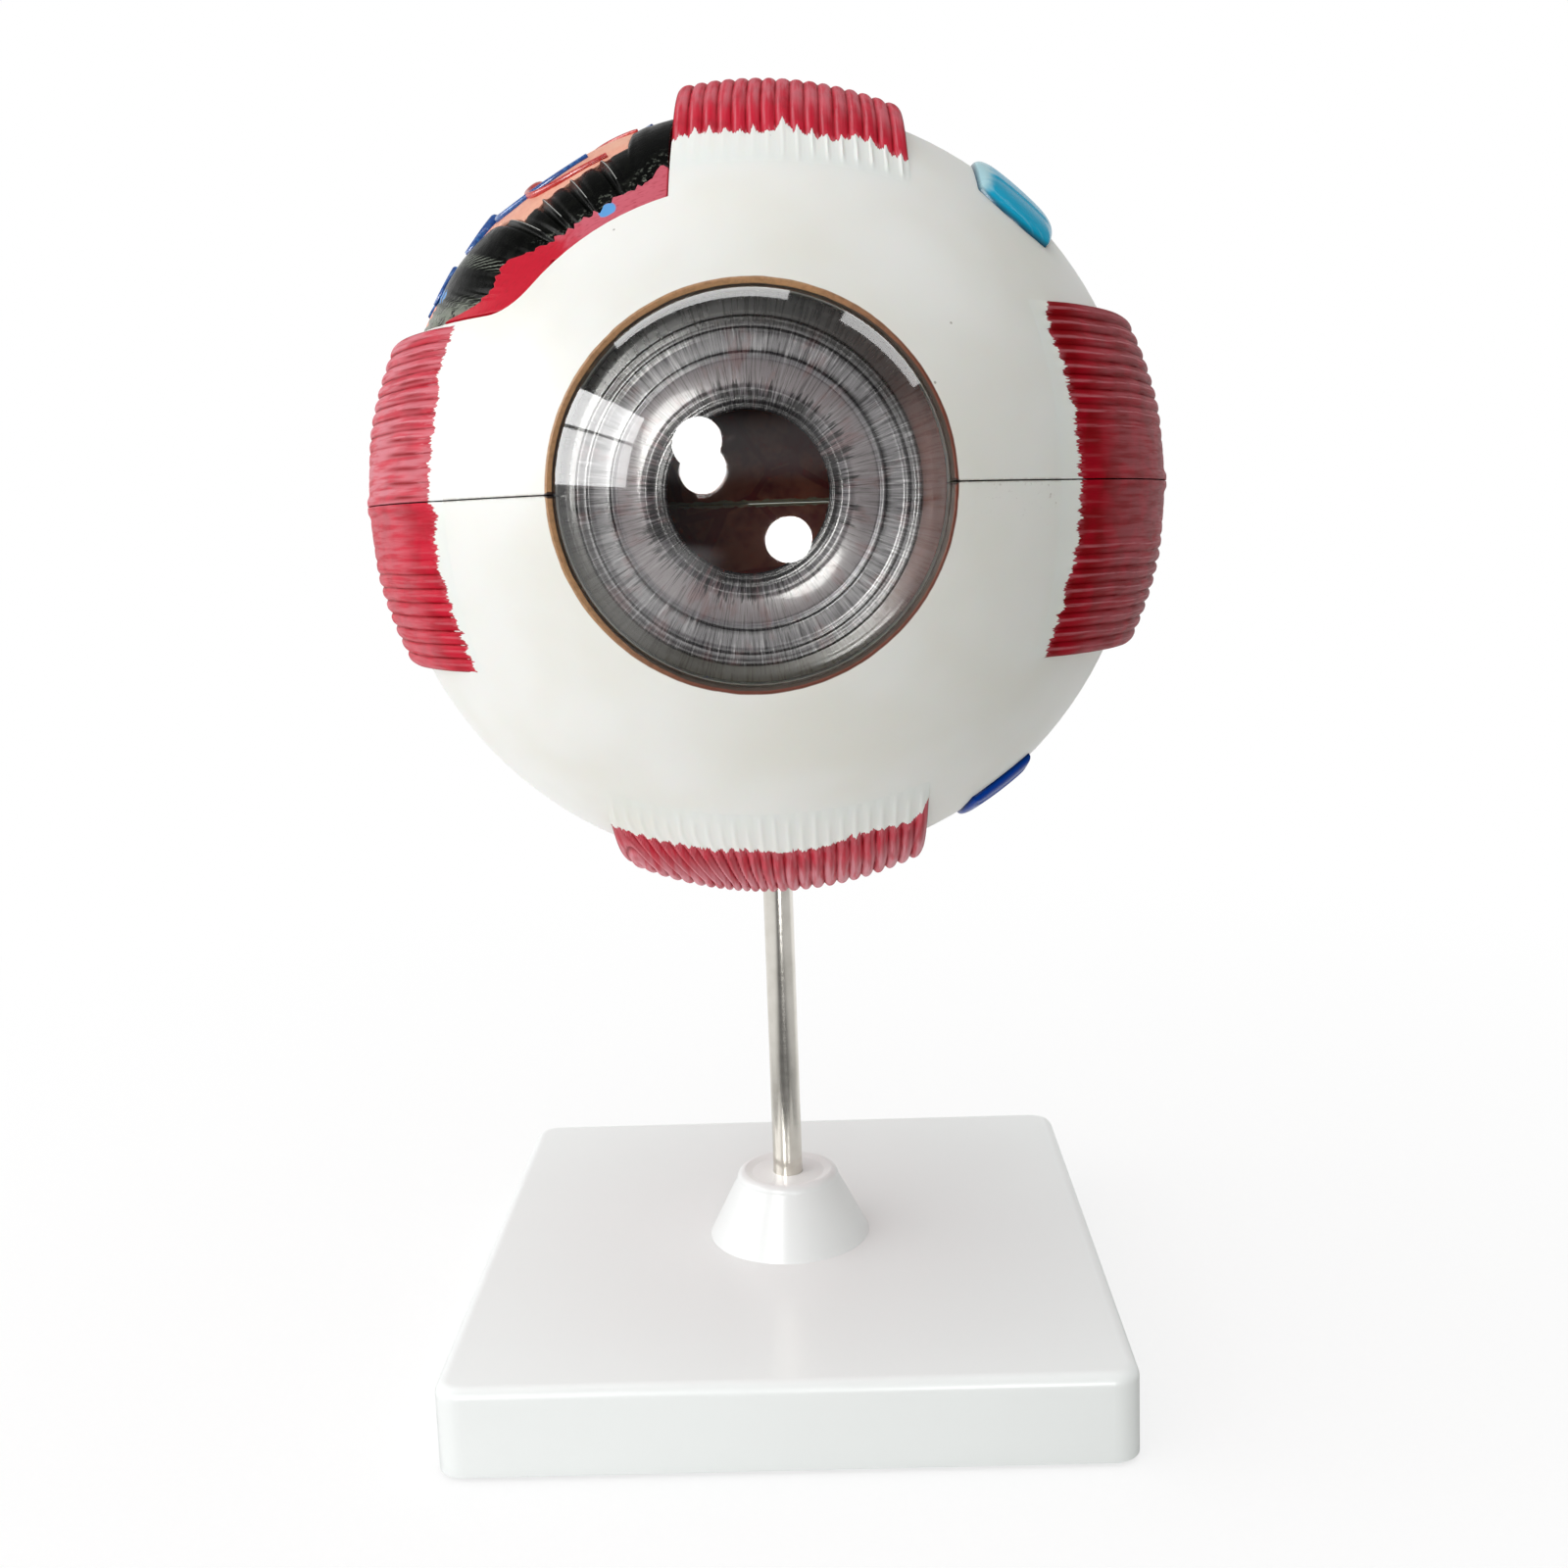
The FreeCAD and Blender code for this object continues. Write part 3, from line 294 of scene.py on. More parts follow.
def painted_muscle(add, ivory, red, deep, pale):
    """Acrylic paint brushed over ribbed PVC: bristle streaks, thin over the crests, ragged ends."""
    place = eye_millimetres(add)
    marks = "past_edge", "across", "along", "crest", "line", "stroke", "thinness", "depth"
    marks = [add("Attribute", out="Fac", attribute_name=mark) for mark in marks]
    past, across, along, crest, line, under, thin, dark = marks
    # Bristle marks 0.3 mm apart run along the muscle
    stroke = add("CombineXYZ", across, add("MULTIPLY", along, 0.07))
    bristle = add("Noise", stroke, 1 / 0.3, 3.0, 0.6)
    swath = add("Noise", stroke, 1 / 1.0, 2.0)
    patch = add("Noise", place, 1 / 5.0, 2.0)
    ragged = add("MULTIPLY", add("SUBTRACT", bristle, 0.5), 3.0)
    ragged = add("ADD", ragged, add("MULTIPLY", add("SUBTRACT", swath, 0.5), 4.0))
    painted = add("Step", add("ADD", past, ragged), -0.12, 0.16)
    # Deep red in the grooves is painted shade; the deep red strokes just below each crest and the
    # patches are the paint's own
    shade = add("MULTIPLY", add("Step", patch, 0.35, 0.7), 0.35)
    colour = add("Blend", add("ADD", shade, dark, use_clamp=True), red, deep)
    colour = add("Blend", add("Step", crest, 0.0, 0.5, 0.9, 0.0), colour, deep)
    under = add("MULTIPLY", under, add("Step", swath, 0.35, 0.55, 0.2, 1.0))
    colour = add("Blend", under, colour, deep)
    # Pale paint: the line along each roll is a painted highlight, the paling that grows away from
    # the paint's edge is a painted sheen, and paint worn thin over the crests and at its edge is
    # real
    light = add("MULTIPLY", line, add("Step", bristle, 0.3, 0.55, 0.35, 1.0))
    thinned = add("Step", swath, 0.35, 0.6, 0.3, 1.0), add("SUBTRACT", 1.0, under)
    thinned = add("MULTIPLY", thin, *thinned, add("Step", crest, 0.05, 0.8, 0.25, 1.0))
    near = add("SUBTRACT", past, add("MULTIPLY", thin, 6.0))
    start = meet(add, (near, -1.0, 2.0, 0.6, 0.0), (bristle, 0.42, 0.66))
    colour = add("Blend", add("MAXIMUM", light, thinned, start), colour, pale)
    gloss = add("Step", bristle, 0.3, 0.7, 0.36, 0.5)
    film = add("MULTIPLY", painted, add("Step", bristle, 0.2, 0.8, 0.4, 1.0))
    normal = add("Bump", film, 0.05 * MM, ivory_relief(add, place))
    paint = add("Surface", colour, gloss, normal, 1.45, 0.04)
    shell = ivory_surface(add, place, ivory_colour(add, place, ivory))
    return add("Layers", painted, shell, paint)


def painted_pad(add, colour, pale, edge, gloss):
    """Gloss enamel brushed on a raised pad: streaked, paler towards one end, which on the dark pad
    is a painted highlight, and dark round the rim.
    """
    place = eye_millimetres(add)
    marks = "along", "across", "rim"
    along, across, rim = [add("Attribute", out="Fac", attribute_name=mark) for mark in marks]
    streak = add("CombineXYZ", add("MULTIPLY", across, 0.12), along)
    streak = add("Noise", streak, 1 / 0.5, 3.0, 0.6)
    mixed = add("Blend", add("Step", streak, 0.5, 0.8, 0.0, 0.15), colour, pale)
    # Paler towards one end; on the dark pad this is a painted highlight
    end = add("ADD", across, add("MULTIPLY", add("Noise", place, 1 / 3.0, 2.0), 2.0))
    mixed = add("Blend", add("Step", end, 6.2, 8.6, 0.0, 0.85), mixed, pale)
    mixed = add("Blend", add("Step", rim, 0.965, 0.995, 0.0, 0.9), mixed, edge)
    rough = add("Step", streak, 0.3, 0.7, 0.2, 0.28)
    return add("Surface", mixed, rough, add("Bump", streak, 0.02 * MM), 1.5, gloss)


def choroid_paint(add, red, pale, spot):
    """Gloss acrylic in the cut-away's front band: deep crimson, paled to rose above by a painted
    sheen.
    """
    place = eye_millimetres(add)
    marks = "share", "angle"
    share, angle = [add("Attribute", out="Fac", attribute_name=mark) for mark in marks]
    cloud = add("Noise", place, 1 / 2.2, 3.0)
    streak = add("CombineXYZ", add("MULTIPLY", share, 9.0), angle)
    streak = add("Noise", streak, 1 / 0.35, 3.0)
    # The paling towards the top of the band is a painted sheen
    turn = add("ADD", share, add("MULTIPLY", add("SUBTRACT", cloud, 0.5), 0.25))
    colour = add("Blend", add("Step", turn, 0.42, 0.64), pale, red)
    colour = add("Blend", add("Step", streak, 0.5, 0.75, 0.0, 0.6), colour, linear("A0101F"))
    dab = add("ADD", add("Distance", place, SPOT_PLACE), cloud)
    colour = add("Blend", add("Step", dab, 2.0, 2.3, 1.0, 0.0), colour, spot)
    return add("Surface", colour, 0.34, add("Bump", streak, 0.03 * MM), 1.5, 0.12)


def fold_paint(add, black, grey, green):
    """Gloss black enamel over sharp folds: painted highlights on the crests and at their front
    ends, and worn to a greenish grey with scratches towards the far end.
    """
    place = eye_millimetres(add)
    marks = "crest", "share", "row"
    crest, share, row = [add("Attribute", out="Fac", attribute_name=mark) for mark in marks]
    cloud = add("Noise", place, 1 / 2.6, 4.0, 0.6)
    smear = add("Noise", place, 1 / 1.0, 3.0, 0.7)
    scratch = {"Vector": place, "Scale": 0.55, "Distortion": 3.0, "Detail": 2.0}
    scratch = add("TexWave", scratch, out="Fac", wave_type="BANDS", bands_direction="DIAGONAL")
    colour = add("Blend", add("Step", cloud, 0.45, 0.75, 0.0, 0.7), black, linear("10120C"))
    # Painted highlights along the crests
    colour = add("Blend", add("Step", crest, 0.84, 0.97, 0.0, 0.9), colour, grey)
    # Painted highlights at the folds' front ends, where they meet the red band
    front_highlight = (row, 0.02, 0.24, 1.0, 0.0), (smear, 0.54, 0.66, 0.0, 0.6), (share, 0.6, 0.64, 1.0, 0.0)
    colour = add("Blend", meet(add, *front_highlight), colour, green)
    worn = meet(add, (share, 0.735, 0.75), (share, 0.775, 0.8, 1.0, 0.0))
    worn = add("MAXIMUM", worn, add("Step", share, 0.88, 0.94))
    hatch = add("MULTIPLY", add("Step", scratch, 0.8, 0.95), worn)
    colour = add("Blend", hatch, colour, green)
    colour = add("Blend", meet(add, (share, 0.9, 0.97), (cloud, 0.35, 0.55)), colour, green)
    for middle, size in BLOB_PLACES:
        dab = add("ADD", add("Distance", place, middle), add("MULTIPLY", smear, 2.0))
        dab = add("Step", dab, size + 1.0, size + 1.3, 1.0, 0.0)
        colour = add("Blend", dab, colour, linear("4F97DB"))
    rough = add("Step", cloud, 0.3, 0.7, 0.2, 0.34)
    return add("Surface", colour, rough, add("Bump", cloud, 0.08 * MM), 1.5, 0.04)


def brushed_panel(add, peach, deep):
    """Satin acrylic brushed over moulded PVC: warm peach with broad strokes."""
    place = eye_millimetres(add)
    streak = add("Noise", add("Stretch", place, (1, 0.25, 0.5)), 1 / 0.8, 3.0, 0.6)
    cloud = add("Step", add("Noise", place, 1 / 9.0, 2.0), 0.4, 0.75, 0.0, 0.5)
    colour = add("Blend", add("Step", streak, 0.35, 0.75, 0.0, 0.45), peach, deep)
    colour = add("Blend", cloud, colour, linear("F6C4A8"))
    return add("Surface", colour, 0.45, add("Bump", streak, 0.05 * MM), 1.5)


def vessel_paint(add, colour, light):
    """Gloss enamel on raised vessels: rich colour, thin on the crowns."""
    streak = add("Noise", eye_millimetres(add), 1 / 0.9, 3.0, 0.6)
    mixed = add("Blend", add("Step", streak, 0.45, 0.7, 0.0, 0.7), colour, light)
    keys = {"Base Color": mixed, "Roughness": 0.28, "IOR": 1.5, "Coat Weight": 0.4}
    return add("Surface", keys | {"Normal": add("Bump", streak, 0.05 * MM)})


def retina_shell(add, orange, choroid, vessel, edge):
    """PVC shell painted twice: deep choroid red outside, orange retina with fine vessels inside."""
    place = eye_millimetres(add)
    cloud = add("Noise", place, 1 / 14.0, 4.0, 0.6)
    inner = add("Blend", add("Step", cloud, 0.42, 0.58), orange, linear("BC3430"))
    veins = {"Vector": place, "Scale": 1 / 14.0}
    veins = add("TexVoronoi", veins, feature="DISTANCE_TO_EDGE")
    veins = add("ADD", veins, add("MULTIPLY", cloud, 0.05))
    inner = add("Blend", add("Step", veins, 0.05, 0.075, 0.8, 0.0), inner, vessel)
    mottle = add("Step", add("Noise", place, 1 / 3.0, 4.0, 0.6), 0.4, 0.65)
    outer = add("Blend", mottle, choroid, linear("7A1A1E"))
    colour = add("Blend", add("Step", add("Length", place), 64.5, 65.5), inner, outer)
    # Bare pale plastic along the seam, which also stands in for light showing through the seam's
    # gap:
    # part real, part painted light
    height = add("ABSOLUTE", add("SeparateXYZ", place, out="Z"))
    ragged = add("ADD", height, add("MULTIPLY", add("Noise", place, 1 / 1.6, 3.0), 1.1))
    colour = add("Blend", add("Step", ragged, 1.05, 1.25, 1.0, 0.0), colour, edge)
    return add("Surface", colour, 0.42, add("Bump", cloud, 0.05 * MM), 1.5)


def ciliary_plastic(add, black, grey):
    """ABS, moulded and painted satin black, rubbed grey on the pleats."""
    cloud = add("Noise", eye_millimetres(add), 1 / 1.8, 4.0, 0.6)
    colour = add("Blend", add("Step", cloud, 0.45, 0.75, 0.0, 0.6), black, grey)
    return add("Surface", colour, 0.4, add("Bump", cloud, 0.06 * MM), 1.53)


def nerve_sheath_pvc(add, ivory, shade):
    """PVC, moulded: ivory with strokes along the nerve."""
    turn = (0, 0, math.radians(NERVE_BEARING))
    line = add("Mapping", {"Vector": eye_millimetres(add), "Rotation": turn, "Scale": (1, 0.08, 1)})
    streak = add("Noise", line, 1 / 0.9, 3.0, 0.6)
    colour = add("Blend", add("Step", streak, 0.35, 0.7, 0.0, 0.7), ivory, shade)
    return add("Surface", colour, 0.44, add("Bump", streak, 0.08 * MM), 1.5)


def nerve_core_paint(add, yellow, deep):
    """PVC with bundled fibres 1.1 mm across, painted yellow."""
    turn = (0, 0, math.radians(-NERVE_BEARING))
    line = add("Mapping", {"Vector": eye_millimetres(add), "Rotation": turn, "Scale": (1, 0.02, 1)})
    cells = add("TexVoronoi", {"Vector": line, "Scale": 1 / 1.1}, feature="DISTANCE_TO_EDGE")
    colour = add("Blend", add("Step", cells, 0.02, 0.16, 0.85, 0.0), yellow, deep)
    relief = add("Step", cells, 0.0, 0.25)
    return add("Surface", colour, 0.4, add("Bump", relief, 0.25 * MM), 1.5)


def clear_acrylic(add, tint, bend):
    """Acrylic, moulded and polished: clear, and hollow enough to bend light only a little."""
    normal = add("Bump", add("Noise", eye_millimetres(add), 1 / 12.0, 1.0), 0.02 * MM)
    bent = {"Color": tint, "Roughness": 0.02, "IOR": bend, "Normal": normal}
    bent = add("BsdfRefraction", bent)
    gloss = add("BsdfGlossy", {"Color": WHITE, "Roughness": 0.03, "Normal": normal})
    facing = add("Fresnel", ACRYLIC_IOR, normal)
    outside = add("SUBTRACT", 1.0, add("NewGeometry", out="Backfacing"))
    glass = add("Layers", add("MULTIPLY", facing, outside, 0.3), bent, gloss)
    # Each face passes most of a lamp's light on to what lies behind
    clear = add("BsdfTransparent", (0.985, 0.985, 0.985))
    return add("Layers", add("LightPath", out="Is Shadow Ray"), glass, clear)


def formed_acrylic(add, tint):
    """Acrylic sheet, vacuum formed and polished: clear, with sharp reflections."""
    scuff = add("Noise", eye_millimetres(add), 1 / 7.0, 3.0)
    normal = add("Bump", scuff, 0.004 * MM)
    rough = add("Step", scuff, 0.4, 0.7, 0.03, 0.055)
    gloss = add("BsdfGlossy", {"Color": WHITE, "Roughness": rough, "Normal": normal})
    # The outer face carries the reflections of both, so that none is counted inside the wall
    both = add("MULTIPLY", add("Fresnel", ACRYLIC_IOR, normal), 1.8, use_clamp=True)
    outside = add("SUBTRACT", 1.0, add("NewGeometry", out="Backfacing"))
    return add("Layers", add("MULTIPLY", both, outside), add("BsdfTransparent", tint), gloss)


# Iris colours by radius, from the pupil to the last step; "grey" and the shaded outer band colour
# are settings. The light rings at 26.6 and 28.8 mm are painted highlights along the steps' lips
IRIS_RINGS = {
    12.9: "0D0B0D", 13.35: "121013", 13.5: "5F5D62", 13.75: "141215", 14.3: "2E2B30",
    15.6: "6E6A70", 17.5: "grey", 20.5: "grey", 21.6: "77747A", 22.1: "2A282C", 22.5: "39373C",
    23.2: "8A878C", 25.4: "767378", 25.8: "3A383D", 26.3: "39363A", 26.6: "A29FA4",
    26.85: "4B484C", 27.6: "5C585B", 28.05: "2A2828", 28.5: "39332F", 28.8: "6A645F",
    29.0: "brown_shaded", 32.6: "brown_shaded",
}
IRIS_REACH = 33.0


def printed_iris(add, grey, dark, light, brown_shaded, russet_lit, olive_lit):
    """ABS disc, moulded in steps and air-brushed: fine radial streaks, dark step lines, gloss."""
    middle = (IRIS_SHIFT[0], 0, IRIS_SHIFT[1])
    flat = add("VectorMath", eye_millimetres(add), middle, operation="SUBTRACT")
    flat = add("Stretch", flat, OFF_AXIS)
    radius = add("Length", flat)
    spoke = add("VectorMath", flat, operation="NORMALIZE")
    x, _, z = add("SeparateXYZ", spoke).node.outputs
    drift = add("CombineXYZ", {1: add("MULTIPLY", radius, 0.15)})
    fans = []
    for around in (70.0, 24.0, 6.0):
        turned = add("VectorMath", {0: spoke, "Scale": around}, operation="SCALE")
        turned = add("VectorMath", turned, drift, operation="ADD")
        fans.append(add("Noise", turned, 1.0, 3.0, 0.65))
    fine, medium, broad = fans
    named = {"grey": grey, "brown_shaded": brown_shaded}
    rings = [(at / IRIS_REACH, named.get(code) or linear(code)) for at, code in IRIS_RINGS.items()]
    colour = add("ValToRGB", add("DIVIDE", radius, IRIS_REACH), ramp=rings)
    # The outer band is painted light and shade: near black over the nose side and top, a painted
    # shadow of the rim, and russet on the temple side and olive below, lit copies of the same band
    outer = add("Step", radius, 28.0, 28.5)
    colour = add("Blend", add("MULTIPLY", outer, add("Step", x, 0.25, 0.95)), colour, russet_lit)
    low = meet(add, (z, 0.05, -0.6), (x, 0.95, 0.5))
    colour = add("Blend", add("MULTIPLY", outer, low), colour, olive_lit)
    # Rosy cast within the streaks
    cast = add("Step", broad, 0.5, 0.66, 0.0, 0.42)
    cast = add("MULTIPLY", cast, add("SUBTRACT", 1.0, outer))
    colour = add("Blend", cast, colour, linear("8A5A5C"))
    # Dark and light streaks
    middle = meet(add, (radius, 21.9, 22.6), (radius, 27.9, 28.3, 1.0, 0.0))
    strong = add("MAXIMUM", add("Step", radius, 15.0, 21.0, 1.0, 0.45), middle)
    strong = add("MULTIPLY", strong, add("Step", radius, 28.0, 28.5, 1.0, 0.1))
    shadow = meet(add, (fine, 0.49, 0.37, 0.0, 0.9), (medium, 0.38, 0.58, 1.0, 0.45))
    colour = add("Blend", add("MULTIPLY", shadow, strong), colour, dark)
    shine = meet(add, (fine, 0.53, 0.64, 0.0, 0.8), (medium, 0.42, 0.6, 0.3, 1.0))
    colour = add("Blend", add("MULTIPLY", shine, strong), colour, light)
    # The upper edge is darker: a painted shadow of the rim
    upper = meet(add, (z, 0.2, 0.65), (radius, 24.5, 27.5, 0.0, 0.75))
    colour = add("Blend", upper, colour, brown_shaded)
    # Black spokes that start at the pupil's margin
    root = add("Step", radius, 14.0, 19.5, 1.0, 0.0)
    spokes = add("ADD", medium, add("MULTIPLY", root, 0.13))
    spokes = add("MULTIPLY", meet(add, (spokes, 0.58, 0.64), (root, 0.0, 0.3)), 0.85)
    colour = add("Blend", spokes, colour, linear("161417"))
    relief = add("ADD", fine, add("MULTIPLY", medium, 0.6))
    relief = add("Bump", add("MULTIPLY", relief, strong), 0.03 * MM)
    keys = {"Base Color": colour, "Roughness": add("Step", fine, 0.3, 0.7, 0.24, 0.34)}
    keys |= {"IOR": 1.53, "Normal": relief, "Coat Weight": 0.6, "Coat Roughness": 0.09}
    return add("Surface", keys)


# Mesh tools -----------------------------------------------------------------------------------


def smooth(value, low, high):
    """A smooth step from 0 to 1 as value goes from low to high."""
    share = np.clip((value - low) / (high - low), 0, 1)
    return share * share * (3 - 2 * share)


def turned_about(points, axis, degrees):
    """Points turned about one of the eyeball's axes."""
    turn = np.array(Matrix.Rotation(math.radians(degrees), 3, axis))
    return points @ turn.T


def placed(points):
    """Points in the eyeball's frame, in millimetres, to metres in the model's frame."""
    tipped = turned_about(points, "X", -EYE_TILT)
    return (tipped + (0, 0, EYE_HEIGHT)) / 1000


def on_sphere(radius, angle, clock):
    """Points by distance from the centre, angle from the front, and clock angle from the temple."""
    angle, clock = np.radians(angle), np.radians(clock)
    sides = np.sin(angle) * np.cos(clock), -np.cos(angle), np.sin(angle) * np.sin(clock)
    return np.stack([radius * side for side in np.broadcast_arrays(*sides)], -1)


def closed_mesh(points, faces, marks=()):
    """A mesh from points in the model's frame, with the values that its material reads."""
    mesh = bpy.data.meshes.new("piece")
    mesh.from_pydata(points.tolist(), [], faces)
    for mark, values in dict(marks).items():
        layer = mesh.attributes.new(mark, "FLOAT", "POINT")
        layer.data.foreach_set("value", np.asarray(values, np.float32).ravel())
    work = bmesh.new()
    work.from_mesh(mesh)
    bmesh.ops.remove_doubles(work, verts=work.verts, dist=1e-6)
    bmesh.ops.recalc_face_normals(work, faces=work.faces)
    work.to_mesh(mesh)
    work.free()
    return mesh


def new_piece(name, mesh, material, body, source=None, sharp=None):
    """A piece that rides on a body, in place of its source node where it has one."""
    mesh.name = name
    mesh.materials.clear()
    mesh.materials.append(material)
    mesh.shade_smooth()
    if sharp:
        mesh.set_sharp_from_angle(angle=math.radians(sharp))
    piece = bpy.data.objects.new(name, mesh)
    bpy.context.scene.collection.objects.link(piece)
    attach(piece, body)
    if source:
        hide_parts(source)
    return piece


def evaluated_mesh(thing):
    """The mesh of a thing after its modifiers or its curve are worked out."""
    bpy.context.view_layer.update()
    result = thing.evaluated_get(bpy.context.evaluated_depsgraph_get())
    return bpy.data.meshes.new_from_object(result)


def closed_sheet(top, bottom):
    """Points and faces of the solid between two grids of the same size."""
    rows, columns = top.shape[:2]
    count = rows * columns
    grid = np.arange(count).reshape(rows, columns)
    corners = grid[:-1, :-1], grid[:-1, 1:], grid[1:, 1:], grid[1:, :-1]
    upper = np.stack(corners, -1).reshape(-1, 4)
    rim = np.concatenate((grid[0, :-1], grid[:-1, -1], grid[-1, :0:-1], grid[:0:-1, 0]))
    following = np.roll(rim, -1)
    walls = np.stack((following, rim, rim + count, following + count), -1)
    faces = np.concatenate((upper, upper[:, ::-1] + count, walls))
    points = np.concatenate((top.reshape(-1, 3), bottom.reshape(-1, 3)))
    return points, faces.tolist()


def sheet_mesh(grids, marks):
    """The mesh of a closed sheet, with the same marks on both of its grids."""
    shape = grids[0].shape[:2]
    both = {mark: np.tile(np.broadcast_to(each, shape).ravel(), 2) for mark, each in marks.items()}
    return closed_mesh(*closed_sheet(*grids), both)


def eased(outline, radius, steps=4):
    """A closed outline of (radius, depth) points with its corners rounded."""
    points = np.array(outline, float)
    made = []
    for number, corner in enumerate(points):
        before, after = points[number - 1], points[(number + 1) % len(points)]
        if corner[0] == 0:
            made.append(corner)
            continue
        back, ahead = before - corner, after - corner
        reach = min(radius, 0.45 * np.linalg.norm(back), 0.45 * np.linalg.norm(ahead))
        start = corner + back / np.linalg.norm(back) * reach
        end = corner + ahead / np.linalg.norm(ahead) * reach
        for step in range(steps + 1):
            share = step / steps
            turn = 2 * share * (1 - share) * corner
            made.append((1 - share) ** 2 * start + turn + share**2 * end)
    return np.array(made)


def lathe(outline, around=256):
    """Points and faces of an outline of (radius, depth) turned about the eyeball's axis."""
    turns = np.linspace(0, 2 * np.pi, around, endpoint=False)
    rings = len(outline)
    radius, depth = outline[:, 0][:, None], outline[:, 1][:, None]
    points = np.stack((radius * np.cos(turns), -depth + 0 * turns, radius * np.sin(turns)), -1)
    grid = np.arange(rings * around).reshape(rings, around)
    ahead = np.roll(grid, -1, axis=0)
    corners = grid, np.roll(grid, -1, axis=1), np.roll(ahead, -1, axis=1), ahead
    faces = np.stack(corners, -1).reshape(-1, 4)
    on_axis = (outline[:, 0] == 0) & (np.roll(outline[:, 0], -1) == 0)
    keep = ~np.repeat(on_axis, around)
    return points.reshape(-1, 3), faces[keep].tolist()


def dress(nodes, name, surface, *settings):
    """Gives CAD nodes a finish."""
    material = new_material(name, surface, *settings)
    for node in nodes:
        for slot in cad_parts[node].material_slots:
            slot.material = material


# Muscles --------------------------------------------------------------------------------------

# Body, turn about the eye's axis, sides across the eye, front angle, thickness, spacing of the
# rolls, height and spread of the ridges ahead of the paint, strength of the painted sheen that
# pales the paint away from its edge, how far it is worn thin and is dark, strength and place of the
# painted highlight line along each roll, length of the paint's teeth, and (across, angle) points
# along the paint's edge
Muscle = namedtuple(
    "Muscle",
    "body turn sides front thickness pitch ridge fade worn dark line crest_at notch edge",
)
MUSCLES = {
    "superior_rectus": Muscle(
        "sclera_upper", 0, (-12.05, 27.6), 47.0, 4.4, 2.49, (0.4, 0.3),
        0.42, 0.1, 0.1, 0.6, 0.26, 1.5,
        ((-12, 54.5), (-10, 55.4), (-5.7, 55.4), (-1.3, 55), (1.5, 54.5), (4.6, 55.1), (6.8, 57.2),
         (8.7, 55), (12.1, 54.7), (15.2, 54.2), (18.4, 56), (20.9, 55.8), (23.7, 54.9),
         (25.8, 54.2), (27.6, 54.5)),
    ),
    "inferior_rectus": Muscle(
        "eyeball_lower", 180, (-28.5, 28.5), 49.5, 5.0, 2.38, (0.16, 0.5),
        0.85, 0.4, 0.15, 0.4, 0.6, 0.5,
        ((-28.4, 55.2), (-27.6, 57.2), (-25.6, 58.6), (-18.7, 57.6), (-14.3, 57.7), (-10.2, 58.6),
         (-1.8, 59), (2.5, 58.2), (8.1, 58.5), (17.4, 58.7), (27, 59.1)),
    ),
    "medial_rectus_upper": Muscle(
        "sclera_upper", -90, (SEAM_HALF_GAP, 29.5), 45.5, 3.4, 2.45, (0, 0.5),
        0.15, 0.62, 0.1, 0.9, 0.55, 0.35,
        ((0.4, 49.5), (6.2, 49.4), (13, 48.9), (15.1, 48.8), (23.3, 49.7), (29, 49.3)),
    ),
    "medial_rectus_lower": Muscle(
        "eyeball_lower", -90, (-29.5, -SEAM_HALF_GAP), 45.5, 3.4, 2.45, (0, 0.5),
        0.35, 0.06, 0.15, 0.4, 0.55, 0.35,
        ((-28.4, 48.6), (-24.1, 48.3), (-17.7, 48.8), (-11, 49.2), (-6.1, 49.3), (-3.2, 48.3),
         (-1.7, 48.6), (-0.4, 49.6)),
    ),
    "lateral_rectus_upper": Muscle(
        "sclera_upper", 90, (-30.0, -SEAM_HALF_GAP), 44.0, 4.8, 2.49, (0.05, 0.5),
        0.25, 0.0, 0.75, 0.75, 0.45, 0.3,
        ((-30, 49.2), (-26.2, 47.6), (-23.6, 47.4), (-21.1, 48.1), (-13.6, 48.4), (-1, 48.6)),
    ),
    "lateral_rectus_lower": Muscle(
        "eyeball_lower", 90, (SEAM_HALF_GAP, 30.0), 44.0, 4.8, 2.49, (0.05, 0.5),
        0.25, 0.0, 0.75, 0.75, 0.45, 0.3,
        ((1, 48.6), (10.8, 48.7), (17.5, 47.9), (25.5, 47.7), (30, 47.5)),
    ),
}


def rim_circle(front, thickness):
    """Centre (y, z) and radius of a muscle's crest, through its lip, its middle and its end."""
    stations = ((front, MUSCLE_LIP), (MUSCLE_MIDDLE, thickness), (MUSCLE_BACK, thickness))
    rows = []
    for angle, height in stations:
        reach, turn = EYE_RADIUS + height, math.radians(angle)
        rows.append((-reach * math.cos(turn), reach * math.sin(turn)))
    first = np.array(rows[0])
    ahead = np.array(rows[1:]) - first
    centre = first + np.linalg.solve(2 * ahead, (ahead**2).sum(1))
    return centre, np.linalg.norm(centre - first)


def peak(value, spread):
    """A rounded peak of 1 where value is 0."""
    return np.exp(-((value / spread) ** 2))


